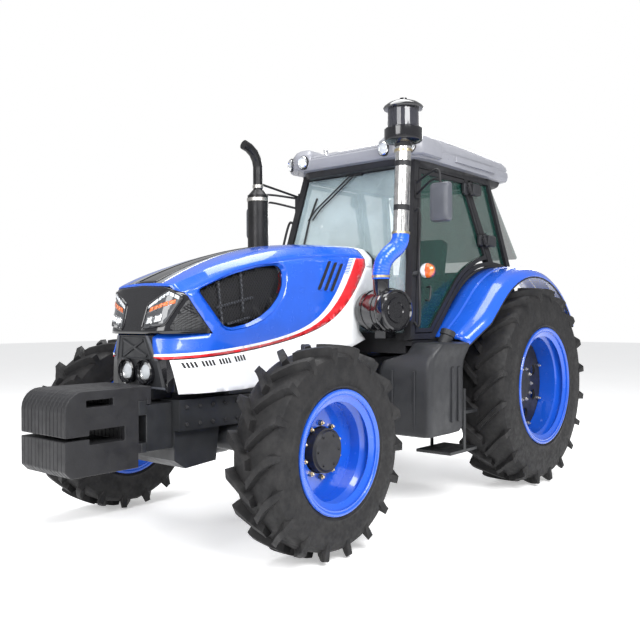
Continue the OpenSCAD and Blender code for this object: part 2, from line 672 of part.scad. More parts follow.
module cab_frame() color(black) difference() {
  union() {
    pair() cab_side() difference() {
      side_plate(concat([[front_edge(sill_z, 0), sill_z], [front_edge(cab_top, 0), cab_top], [rear_edge(cab_top, 0), cab_top],
        [rear_edge(1870, 0), 1870]], house_arc(fender_r + 20, 109, 50), [[1134, sill_z]]), 0, post_t);
      side_plate(door_outline(0), -10, post_t + 20);
      side_plate(concat([[hinge_edge(door_top, -55), door_top], [rear_edge(door_top, 45), door_top]],
        house_arc(fender_r + 55, 105, 91)), -10, post_t + 20);
    }
    pair() cab_side() hinge_post();
    block([1080, -605, rail_z], [1135, 605, cab_top]);
    block([-122, -605, rail_z], [-75, 605, cab_top]);
    block([-366, -690, 1855], [-300, 690, 1905]);
    block([1418, -760, sill_z], [1465, 760, 1340]);
    pair() {
      drum(window_hinge[0], window_hinge[1], 24, 400, 440);
      block([window_hinge[0], 400, window_hinge[1] - 12], [-121, 440, window_hinge[1] + 12]);
    }
  }
  drum(window_hinge[0], window_hinge[1], 12 + pin_gap, -500, 500);
}

window_hinge = [-152, cab_top - 30];

// FACETED soft-cornered roof shell, open below.
module roof_block(d, top) hull() {
  for (x = [-390, 1180], y = [-560, 560]) translate([x, y, cab_top]) cylinder(r = 125 - d, h = 135, $fn = 24);
  for (x = [-300, 1090], y = [-480, 480]) translate([x, y, roof_top - 150]) cylinder(r = 125 - d, h = top - roof_top + 150, $fn = 24);
}

module roof() color(grey) difference() {
  roof_block(0, roof_top);
  translate([0, 0, -6]) roof_block(30, roof_top - 34);
}

module roof_lamps() color(steel) pair() {
  for (y = [400, 525]) translate([1305, y, cab_top + 75]) rotate([0, 90, 0]) cylinder(r = 50, h = 30);
}

module windscreen() color(glass) pane([1440, -706, 1340], [1440, 706, 1340], [1124, 538, rail_z], [1124, -538, rail_z],
  [-8, 0, 0]);

module side_glass() color(glass) pair() cab_side()
  side_plate(concat([[hinge_edge(door_top, -62), door_top], [rear_edge(door_top, 52), door_top]],
    house_arc(fender_r + 62, 104.5, 91.3)), 25, glass_t);

// Rear window on its top hinge, drawn closed and swung out to the angle in the photograph.
module rear_window() color(glass) translate([window_hinge[0], 0, window_hinge[1]]) rotate([0, rear_open_a, 0]) union() {
  pane([-2, 575, -45], [-2, -575, -45], [-225, -640, -790], [-225, 640, -790], [-30, 0, 9]);
  pair() {
    drum(0, 0, 12, 384, 456);
    for (y = [384, 444]) block([-22, y, -75], [6, y + 12, 2]);
  }
}

module door_frame() cab_side() difference() {
  side_plate(door_outline(door_gap), 0, door_t);
  side_plate(door_outline(door_gap + 34), -10, door_t + 20);
}

module door_left() color(black) union() {
  door_frame();
  cab_side() hinge_strap();
}
module door_right() color(black) mirror([0, 1, 0]) door_left();

module door_pane() cab_side() side_plate(door_outline(door_gap + 34.6), 18, glass_t);
module door_glass_left() color(glass) door_pane();
module door_glass_right() color(glass) mirror([0, 1, 0]) door_pane();

// Rear fender: arched skin over the tyre with a turned-down lip and a straight front tail.
// Section of the fender at a radius direction a, moved a distance t along the tail, narrowed by k.
function fender_loop(a, t, k) =
  [for (p = [[0, tub_y], [-8, fender_out - 120 - k], [-40, fender_out - 30 - k], [-85, fender_out - k],
      [-97, fender_out - 8 - k], [-52, fender_out - 40 - k], [-22, fender_out - 124 - k], [-14, tub_y]])
    [(fender_r + p[0]) * cos(a) + t * sin(a), p[1], rear_tyre_r + (fender_r + p[0]) * sin(a) - t * cos(a)]];

// FACETED arched skin.
module fender_left() color(blue)
  loft(concat([for (i = [0 : 14]) fender_loop(148 - 7 * i, 0, 0)], [fender_loop(50, 300, 0), fender_loop(50, 560, 90)]));
module fender_right() color(blue) mirror([0, 1, 0]) fender_left();

// Operator seat on its pedestal.
module seat() color(dark) union() {
  block([150, -170, 1212], [480, 170, 1560]);
  block([100, -260, 1560], [600, 260, 1680]);
  slab([[100, 1640], [200, 1680], [60, 2230], [-50, 2230]], -250, 250);
}

// Dash hump with the steering column.
module console() color(dark) union() {
  slab([[1100, 1212], [1414, 1212], [1380, 1560], [1300, 1790], [1130, 1790], [1040, 1700]], -190, 190);
  bar([1090, 0, 1700], column_top, 32);
  bar([1090, 0, 1700], column_top + [-17, 0, 18], 15);
}

column_top = [938, 0, 1860];

module steering_wheel() color(black) translate(column_top) rotate([0, -43.5, 0]) difference() {
  union() {
    translate([0, 0, 1]) cylinder(r = 45, h = 44);
    translate([0, 0, 24]) rotate_extrude() translate([195, 0]) circle(r = 15);
    for (a = [0 : 120 : 240]) rotate([0, 0, a]) translate([30, -14, 16]) cube([158, 28, 14]);
  }
  cylinder(r = 15 + pin_gap, h = 30);
}

// Outside mirrors on their arms.
module mirrors() color(black) pair() union() {
  block([1350, 910, 2180], [1400, 1090, 2490]);
  for (z = [2410, 2470]) bar([1165, 648, z + 30], [1372, 935, z], 11);
  cab_side() block([1142, 0, up(2420)], [1188, 14, up(2520)]);
}

module marker_lamps() color(steel) pair() cab_side() union() {
  block([1318, 0, up(1735)], [1352, 75, up(1765)]);
  block([1312, 70, up(1700)], [1360, 135, up(1800)]);
}

module drawbar() color(dark) difference() {
  union() {
    block([-640, -40, 470], [300, 40, 505]);
    translate([-640, 0, 470]) cylinder(r = 40, h = 35);
    block([100, -60, 504], [300, 60, 570]);
  }
  translate([-640, 0, 460]) cylinder(r = drawbar_bore_r, h = 60);
}

// Power take-off stub with a thicker journal inside the housing.
module pto_shaft() color(steel) translate([-330, 0, 760]) rotate([0, 90, 0]) union() {
  cylinder(r = pto_r, h = 110);
  translate([0, 0, 90]) cylinder(r = pto_r + 4, h = 75);
}

// Lower links between the brackets and the implement, with a ball bore at the rear end.
module lower_links() color(dark) pair() difference() {
  union() {
    block([link_x - link_len, 366, link_z - 32], [link_x, 394, link_z + 32]);
    drum(link_x, link_z, 45, 355, 405);
    drum(link_x - link_len, link_z, 45, 355, 405);
  }
  drum(link_x, link_z, 16, 350, 410);
  drum(link_x - lift_len, link_z, 12 + pin_gap, 350, 410);
  drum(link_x - link_len, link_z, link_bore_r, 350, 410);
}

// Rocker shaft of the linkage with its two lift arms.
module lift_arms() color(dark) difference() {
  union() {
    drum(rock_x, rock_z, 38, -300, 300);
    pair() {
      drum(rock_x, rock_z, 55, 262, 292);
      block([rock_x - lift_len, 262, rock_z - 25], [rock_x, 292, rock_z + 25]);
      drum(rock_x - lift_len, rock_z, 30, 262, 292);
    }
  }
  drum(rock_x - lift_len, rock_z, 12 + pin_gap, -300, 300);
}

// Lift rods with their pins through the lift arms and the lower links.
module lift_rods() color(steel) pair() union() {
  bar([rock_x - lift_len, 330, rock_z], [link_x - lift_len, 330, link_z], 16);
  drum(rock_x - lift_len, rock_z, 12, 256, 340);
  drum(rock_x - lift_len, rock_z, 24, 312, 348);
  drum(link_x - lift_len, link_z, 12, 320, 402);
  drum(link_x - lift_len, link_z, 24, 312, 348);
}

place() front_frame();
place() weight_bracket();
place() front_weights();
place() engine();
place() gearbox();
place() rear_axle();
place() front_axle();
place() knuckle_left();
place() knuckle_right();
place() tie_rod();
place() tyre_fl();
place() tyre_fr();
place() tyre_rl();
place() tyre_rr();
place() rim_fl();
place() rim_fr();
place() rim_rl();
place() rim_rr();
place() hub_fl();
place() hub_fr();
place() hub_rl();
place() hub_rr();
place() hood_shell();
place() nose_mask();
place() headlamps();
place() lamp_panel();
place() side_panels();
place() air_cleaner();
place() intake_hose();
place() intake_pipe();
place() pre_cleaner();
place() exhaust();
place() fuel_tank();
place() side_box();
place() steps();
place() cab_tub();
place() cab_frame();
place() roof();
place() roof_lamps();
place() windscreen();
place() side_glass();
place() rear_window();
place() door_left();
place() door_right();
place() door_glass_left();
place() door_glass_right();
place() fender_left();
place() fender_right();
place() seat();
place() console();
place() steering_wheel();
place() mirrors();
place() marker_lamps();
place() drawbar();
place() pto_shaft();
place() lower_links();
place() lift_arms();
place() lift_rods();
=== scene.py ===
"""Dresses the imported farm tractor: panels, wheels, cab, lamps and finishes, in one fixed frame."""

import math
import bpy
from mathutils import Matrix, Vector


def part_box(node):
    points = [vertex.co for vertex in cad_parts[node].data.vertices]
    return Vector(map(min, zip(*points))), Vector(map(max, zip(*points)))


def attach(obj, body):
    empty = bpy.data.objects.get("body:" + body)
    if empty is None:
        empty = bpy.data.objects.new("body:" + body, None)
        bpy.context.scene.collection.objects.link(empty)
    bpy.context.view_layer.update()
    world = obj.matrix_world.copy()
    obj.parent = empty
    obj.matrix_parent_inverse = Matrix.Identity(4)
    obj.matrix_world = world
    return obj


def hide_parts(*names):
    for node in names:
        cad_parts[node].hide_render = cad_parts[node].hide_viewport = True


bl_info = {
    "name": "Farm tractor",
    "version": (1, 0, 0),
    "blender": (4, 5, 0),
    "location": "View3D > Sidebar > Tractor",
    "description": "Builds the dressed farm tractor around its packed solids",
    "category": "Object",
}

import bmesh
import bpy
from mathutils import Matrix, Vector
from mathutils.geometry import delaunay_2d_cdt

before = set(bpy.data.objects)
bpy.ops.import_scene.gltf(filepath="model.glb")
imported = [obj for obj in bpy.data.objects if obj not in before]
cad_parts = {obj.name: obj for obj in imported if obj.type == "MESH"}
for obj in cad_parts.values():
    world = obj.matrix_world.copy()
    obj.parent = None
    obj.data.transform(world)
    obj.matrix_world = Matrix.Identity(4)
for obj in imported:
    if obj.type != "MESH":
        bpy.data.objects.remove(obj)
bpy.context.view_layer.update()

# Places are in metres from the rear axle, X forward, Y left and Z up, then moved to the shared frame.
AXLE = (Vector(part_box("tyre_rl")[0]) + Vector(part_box("tyre_rl")[1])) / 2
SHIFT = Vector((AXLE.x, 0, 0))
UP = Vector((0, 0, 1))
FORWARD = Vector((1, 0, 0))
LEFT = Vector((0, 1, 0))
SIDES = (1, -1)


class TractorColours(bpy.types.PropertyGroup):
    """Colours of the painted and moulded pieces."""

    hood_blue: bpy.props.FloatVectorProperty(
        name="Hood blue", description="Paint of the hood, fenders and rims", subtype="COLOR",
        size=3, min=0, max=1, default=(0.009, 0.090, 0.56))
    panel_white: bpy.props.FloatVectorProperty(
        name="Panel white", description="Paint of the lower side panels", subtype="COLOR",
        size=3, min=0, max=1, default=(0.86, 0.87, 0.89))
    stripe_red: bpy.props.FloatVectorProperty(
        name="Stripe red", description="Stripe along the lower edge of the hood", subtype="COLOR",
        size=3, min=0, max=1, default=(0.72, 0.022, 0.030))
    roof_grey: bpy.props.FloatVectorProperty(
        name="Roof grey", description="Moulded roof", subtype="COLOR",
        size=3, min=0, max=1, default=(0.25, 0.255, 0.285))
    glass_green: bpy.props.FloatVectorProperty(
        name="Glass tint", description="Tint of the cab glass", subtype="COLOR",
        size=3, min=0, max=1, default=(0.010, 0.055, 0.043))


class TractorSizes(bpy.types.PropertyGroup):
    """Sizes that the scene's own pieces take."""

    front_lugs: bpy.props.IntProperty(
        name="Front lugs", description="Tread lugs on each side of a front tyre",
        default=18, min=12, max=30)
    rear_lugs: bpy.props.IntProperty(
        name="Rear lugs", description="Tread lugs on each side of a rear tyre",
        default=20, min=12, max=30)
    lug_height: bpy.props.FloatProperty(
        name="Lug height", description="Height of a tread lug over the carcass",
        default=0.044, unit="LENGTH")
    skin: bpy.props.FloatProperty(
        name="Panel thickness", description="Thickness of the hood and side panels",
        default=0.008, unit="LENGTH")
    lens: bpy.props.FloatProperty(
        name="Camera lens", description="Focal length of the photograph's view in mm",
        default=43.9, unit="CAMERA")


def colours():
    return bpy.context.scene.tractor_colours


def sizes():
    return bpy.context.scene.tractor_sizes


# Materials

# Noise mostly lies between these values
NOISE_LOW, NOISE_HIGH = 0.3, 0.7


class Finish:
    """A node material with a few short ways to add and join nodes."""

    def __init__(self, name):
        self.material = bpy.data.materials.new(name)
        self.material.use_nodes = True
        self.nodes = self.material.node_tree.nodes
        self.links = self.material.node_tree.links
        self.shader = self.nodes["Principled BSDF"]
        self.place = self.node("ShaderNodeTexCoord").outputs["Object"]

    def node(self, kind, inputs=(), **settings):
        made = self.nodes.new(kind)
        for name, value in settings.items():
            setattr(made, name, value)
        for key, value in dict(inputs).items():
            if isinstance(value, bpy.types.NodeSocket):
                self.links.new(value, made.inputs[key])
            else:
                made.inputs[key].default_value = value
        return made

    def math(self, kind, a, b=0.0):
        return self.node("ShaderNodeMath", {0: a, 1: b}, operation=kind).outputs[0]

    def noise(self, scale, detail=4.0, rough=0.6):
        made = self.node("ShaderNodeTexNoise", {"Vector": self.place, "Scale": scale, "Detail": detail,
                                                "Roughness": rough})
        return made.outputs["Fac"]

    def ramp(self, factor, stops, step=False):
        made = self.node("ShaderNodeValToRGB", {"Fac": factor})
        band = made.color_ramp
        band.interpolation = "CONSTANT" if step else "LINEAR"
        while len(band.elements) < len(stops):
            band.elements.new(0.5)
        for element, (place, colour) in zip(band.elements, stops):
            element.position = place
            element.color = (*colour, 1)
        return made.outputs["Color"]

    def spread(self, factor, low, high):
        made = self.node("ShaderNodeMapRange", {"Value": factor, "From Min": NOISE_LOW,
                                                "From Max": NOISE_HIGH, "To Min": low, "To Max": high})
        return made.outputs["Result"]

    def tones(self, factor, colour, low, high):
        """Colour that runs from one shade of itself to another with the factor."""
        return self.ramp(factor, [(NOISE_LOW, shade(colour, low)), (NOISE_HIGH, shade(colour, high))])

    def blend(self, factor, a, b):
        made = self.node("ShaderNodeMix", {"Factor": factor}, data_type="RGBA")
        for socket, value in ((made.inputs[6], a), (made.inputs[7], b)):
            if isinstance(value, bpy.types.NodeSocket):
                self.links.new(value, socket)
            else:
                socket.default_value = (*value, 1)
        return made.outputs[2]

    def bump(self, height, strength, distance):
        made = self.node("ShaderNodeBump", {"Height": height, "Strength": strength, "Distance": distance})
        self.links.new(made.outputs["Normal"], self.shader.inputs["Normal"])

    def set(self, **values):
        for name, value in values.items():
            socket = self.shader.inputs[name.replace("_", " ")]
            if isinstance(value, bpy.types.NodeSocket):
                self.links.new(value, socket)
            else:
                socket.default_value = value


def shade(colour, factor):
    return tuple(min(1.0, c * factor) for c in colour)


def surface(name, colour, rough, metal=0.0, coat=0.0, vary=0.12, grain=220.0, depth=0.0004, spread=0.12):
    """Finish with mottled colour, uneven gloss and a fine grain in its surface."""
    finish = Finish(name)
    finish.set(Base_Color=finish.tones(finish.noise(6.0, 6.0), colour, 1 - vary, 1 + vary),
               Roughness=finish.spread(finish.noise(14.0), max(0.02, rough - spread), rough + spread),
               Metallic=metal, Coat_Weight=coat, Coat_Roughness=0.04, Specular_IOR_Level=0.4)
    finish.bump(finish.noise(grain, 2.0), 0.35, depth)
    return finish.material


def paint(name, colour):
    """Sprayed gloss paint with a slight orange peel."""
    return surface(name, colour, 0.24, coat=0.8, vary=0.05, grain=320.0, depth=0.00015, spread=0.05)


def rubber(name):
    """Tyre rubber, dusty in patches."""
    finish = Finish(name)
    dust = finish.noise(9.0, 8.0, 0.7)
    tones = [(0.35, (0.006, 0.006, 0.007)), (0.75, (0.024, 0.023, 0.023))]
    finish.set(Base_Color=finish.ramp(dust, tones), Specular_IOR_Level=0.3,
               Roughness=finish.spread(finish.noise(30.0), 0.50, 0.75))
    finish.bump(finish.noise(260.0, 3.0), 0.4, 0.0006)
    return finish.material


def steel(name, colour, rough, stretch):
    """Bright metal with brushed streaks; stretch squeezes the streaks on each axis."""
    finish = Finish(name)
    mapped = finish.node("ShaderNodeMapping", {"Vector": finish.place, "Scale": stretch})
    finish.place = mapped.outputs["Vector"]
    streak = finish.noise(24.0, 5.0)
    finish.set(Base_Color=finish.tones(streak, colour, 0.75, 1.0), Metallic=1.0,
               Roughness=finish.spread(streak, rough, rough + 0.18))
    finish.bump(streak, 0.15, 0.0003)
    return finish.material


def tinted_glass(name, colour, clear):
    """Thin tinted glass with faint smears in its gloss."""
    finish = Finish(name)
    smear = finish.noise(5.0, 6.0)
    finish.set(Base_Color=finish.tones(smear, colour, 0.85, 1.15), Alpha=clear, Specular_IOR_Level=0.9,
               Roughness=finish.spread(smear, 0.01, 0.06))
    return finish.material


def lens_glass(name, colour, ribs):
    """Lamp lens with pressed ribs."""
    finish = Finish(name)
    wave = finish.node("ShaderNodeTexWave", {"Vector": finish.place, "Scale": ribs, "Distortion": 0.6},
                       bands_direction="Y").outputs["Fac"]
    finish.set(Base_Color=finish.ramp(wave, [(0.2, shade(colour, 0.7)), (0.8, colour)]), Roughness=0.08,
               Coat_Weight=1.0, Specular_IOR_Level=0.8)
    finish.bump(wave, 0.5, 0.0015)
    return finish.material


def perforated(name, colour, pitch):
    """Black punched sheet with round holes in a regular grid."""
    finish = Finish(name)
    ring = finish.node("ShaderNodeTexVoronoi", {"Vector": finish.place, "Scale": 1 / pitch,
                                                "Randomness": 0.0}).outputs["Distance"]
    finish.set(Base_Color=finish.ramp(ring, [(0.30, shade(colour, 0.25)), (0.42, colour)]),
               Roughness=finish.spread(finish.noise(40.0), 0.38, 0.55))
    finish.bump(ring, 0.8, 0.003)
    return finish.material


def stripe_paint(name):
    """Hood paint: blue with a white line and a red stripe that rise along the seam to the rear."""
    finish = Finish(name)
    calc = finish.math
    parts = finish.node("ShaderNodeSeparateXYZ", {0: finish.place}).outputs
    height = parts["Z"]
    lean = calc("DIVIDE", calc("SUBTRACT", height, LEAN_Z), LEAN_SPAN)
    lean = calc("POWER", calc("MAXIMUM", lean, 0.0), LEAN_POWER)
    along = calc("ADD", parts["X"], calc("MULTIPLY", lean, LEAN))
    back = calc("DIVIDE", calc("SUBTRACT", NOSE_X + SHIFT.x, along), HOOD_LENGTH)
    back = calc("MAXIMUM", back, 0.0)
    rise = calc("MULTIPLY", calc("POWER", back, SEAM_POWER), SEAM_RISE)
    rise = calc("ADD", rise, calc("MULTIPLY", calc("MULTIPLY", back, back), SEAM_BOW))
    rise = calc("ADD", rise, calc("MULTIPLY", back, SEAM_SLOPE))
    over = calc("SUBTRACT", height, calc("ADD", rise, SEAM_Z))
    wide = calc("MULTIPLY", calc("POWER", back, STRIPE_POWER), STRIPE_GROWTH)
    share = calc("DIVIDE", calc("DIVIDE", over, calc("ADD", wide, STRIPE_WIDTH)), 2.0)
    blue, white = colours().hood_blue, colours().panel_white
    body = finish.tones(finish.noise(5.0, 5.0), blue, 0.94, 1.06)
    bands = finish.ramp(share, [(0.0, colours().stripe_red), (RED_SHARE, white)], step=True)
    hatch = calc("GREATER_THAN", calc("SINE", calc("MULTIPLY", height, HATCH_RATE)), 0.0)
    patch = calc("GREATER_THAN", share, HATCH_SHARE)
    patch = calc("MULTIPLY", patch, calc("GREATER_THAN", height, HATCH_Z))
    bands = finish.blend(calc("MULTIPLY", hatch, patch), bands, shade(blue, 1.6))
    within = calc("MULTIPLY", calc("LESS_THAN", share, 0.5), calc("LESS_THAN", height, STRIPE_TOP))
    finish.set(Base_Color=finish.blend(within, body, bands), Coat_Weight=0.8, Coat_Roughness=0.04,
               Roughness=finish.spread(finish.noise(14.0), 0.2, 0.3))
    finish.bump(finish.noise(320.0, 2.0), 0.3, 0.00015)
    return finish.material


def seat_cloth(name, colour):
    """Woven seat cloth with a fine cross grain."""
    finish = Finish(name)
    weave = finish.node("ShaderNodeTexChecker", {"Vector": finish.place, "Scale": 420.0}).outputs["Fac"]
    finish.set(Base_Color=finish.tones(finish.noise(20.0), colour, 0.7, 1.3), Roughness=0.9,
               Sheen_Weight=0.35)
    finish.bump(weave, 0.5, 0.0006)
    return finish.material


LOOKS = {}


def look(name):
    """The named finish, made once."""
    if name in LOOKS:
        return LOOKS[name]
    tone = colours()
    makers = {
        "blue": lambda: paint("blue_gloss", tone.hood_blue),
        "stripe": lambda: stripe_paint("blue_with_stripe"),
        "white": lambda: paint("white_gloss", tone.panel_white),
        "roof": lambda: surface("roof_moulding", tone.roof_grey, 0.38, vary=0.05, coat=0.2),
        "chassis": lambda: surface("chassis_black", (0.020, 0.021, 0.023), 0.42, vary=0.25, coat=0.15),
        "iron": lambda: surface("cast_iron_black", (0.016, 0.016, 0.018), 0.50, vary=0.25, grain=130.0,
                                depth=0.0016),
        "engine": lambda: surface("engine_grey", (0.10, 0.105, 0.11), 0.45, vary=0.2, grain=120.0,
                                  depth=0.001),
        "gloss": lambda: surface("gloss_black", (0.008, 0.008, 0.010), 0.13, coat=0.7, vary=0.2,
                                 spread=0.05),
        "plastic": lambda: surface("moulded_black", (0.022, 0.023, 0.026), 0.46, vary=0.12, grain=420.0),
        "trim": lambda: surface("trim_black", (0.014, 0.014, 0.016), 0.55, vary=0.15),
        "grey": lambda: surface("mirror_grey", (0.075, 0.080, 0.095), 0.40, vary=0.08),
        "silver": lambda: surface("silver_trim", (0.52, 0.54, 0.57), 0.25, metal=0.8, vary=0.08),
        "rubber": lambda: rubber("tyre_rubber"),
        "hose": lambda: paint("blue_hose", shade(tone.hood_blue, 1.15)),
        "stainless": lambda: steel("stainless_pipe", (0.80, 0.79, 0.78), 0.16, (6, 6, 0.6)),
        "machined": lambda: steel("machined_steel", (0.62, 0.60, 0.57), 0.28, (1, 1, 1)),
        "chrome": lambda: steel("chrome_ring", (0.86, 0.87, 0.88), 0.06, (1, 1, 1)),
        "soot": lambda: surface("exhaust_black", (0.014, 0.014, 0.015), 0.36, metal=0.3, vary=0.3),
        "glass": lambda: tinted_glass("tint_glass", tone.glass_green, 0.46),
        "screen": lambda: tinted_glass("screen_glass", (0.62, 0.78, 0.82), 0.30),
        "bowl": lambda: tinted_glass("smoked_bowl", (0.04, 0.04, 0.05), 0.75),
        "smoke": lambda: surface("lamp_smoke", (0.055, 0.057, 0.062), 0.08, coat=1.0, vary=0.3,
                                 spread=0.04),
        "lens": lambda: lens_glass("clear_lens", (0.82, 0.86, 0.90), 60.0),
        "amber": lambda: lens_glass("amber_lens", (0.85, 0.16, 0.01), 70.0),
        "tail": lambda: lens_glass("red_lens", (0.60, 0.02, 0.02), 70.0),
        "mirror": lambda: steel("mirror_face", (0.86, 0.88, 0.90), 0.02, (1, 1, 1)),
        "mesh": lambda: perforated("punched_mesh", (0.040, 0.041, 0.044), 0.012),
        "cloth": lambda: seat_cloth("seat_cloth", (0.035, 0.036, 0.040)),
        "brass": lambda: steel("passivated_nut", (0.72, 0.60, 0.38), 0.25, (1, 1, 1)),
    }
    LOOKS[name] = makers[name]()
    return LOOKS[name]


# Shapes

EDGE_ANGLE = math.radians(40)


def spline(x, points):
    """Smooth curve through (x, value) points, level with their chords."""
    if x <= points[0][0]:
        return points[0][1]
    if x >= points[-1][0]:
        return points[-1][1]
    i = next(k for k in range(len(points) - 1) if points[k + 1][0] >= x)

    def slope(k):
        a, b = points[max(k - 1, 0)], points[min(k + 1, len(points) - 1)]
        return (b[1] - a[1]) / (b[0] - a[0])

    (x0, y0), (x1, y1) = points[i], points[i + 1]
    w = x1 - x0
    t = (x - x0) / w
    return ((2 * t**3 - 3 * t**2 + 1) * y0 + (t**3 - 2 * t**2 + t) * w * slope(i)
            + (3 * t**2 - 2 * t**3) * y1 + (t**3 - t**2) * w * slope(i + 1))


def straight(x, points):
    """Straight-line value between (x, value) points."""
    for (x0, y0), (x1, y1) in zip(points, points[1:]):
        if x <= x1:
            return y0 + (y1 - y0) * max(0.0, (x - x0) / (x1 - x0))
    return points[-1][1]


def steps(low, high, count):
    return [low + (high - low) * i / count for i in range(count + 1)]


def rounded(points, radius, turns=5):
    """Closed outline with each corner replaced by a short curve."""
    made = []
    count = len(points)
    for i, here in enumerate(points):
        here = Vector(here)
        before, after = Vector(points[i - 1]), Vector(points[(i + 1) % count])
        back = before - here
        ahead = after - here
        reach = min(radius, back.length / 2.2, ahead.length / 2.2)
        a, b = here + back.normalized() * reach, here + ahead.normalized() * reach
        for t in steps(0, 1, turns):
            made.append((1 - t) ** 2 * a + 2 * t * (1 - t) * here + t**2 * b)
    return made


def flow(points, parts=6):
    """Smooth open line through points in space."""
    points = [Vector(p) for p in points]
    made = []
    for i in range(len(points) - 1):
        a, b = points[i], points[i + 1]
        p = points[i - 1] if i else a - (b - a)
        n = points[i + 2] if i + 2 < len(points) else b + (b - a)
        for t in steps(0, 1, parts)[:-1]:
            made.append(0.5 * (2 * a + (b - p) * t + (2 * p - 5 * a + 4 * b - n) * t**2
                               + (3 * a - p - 3 * b + n) * t**3))
    return made + [points[-1]]


def inside(point, loop):
    """True where a flat point lies in a closed loop."""
    x, y = point
    hit = False
    for (x0, y0), (x1, y1) in zip(loop, loop[1:] + loop[:1]):
        if (y0 > y) != (y1 > y) and x < x0 + (y - y0) * (x1 - x0) / (y1 - y0):
            hit = not hit
    return hit


def spaced(loop, step):
    """Closed flat loop with points no further apart than step."""
    made = []
    for a, b in zip(loop, loop[1:] + loop[:1]):
        a, b = Vector(a), Vector(b)
        count = max(1, math.ceil((b - a).length / step))
        made += [a + (b - a) * i / count for i in range(count)]
    return made


def rectangle(u0, u1, v0, v1):
    """Corners of a flat rectangle."""
    return [(u0, v0), (u1, v0), (u1, v1), (u0, v1)]


def across(x, loop):
    """Flat (y, z) loop stood up at station x."""
    return [Vector((x, y, z)) for y, z in loop]


def level(z, loop):
    """Flat (x, y) loop laid at height z."""
    return [Vector((x, y, z)) for x, y in loop]


def laid(points, place):
    """Points laid on a surface by place."""
    return [place(*point) for point in points]


def span(side, near, far):
    """Two distances from the centre line on one side, the lesser Y first."""
    return sorted((side * near, side * far))


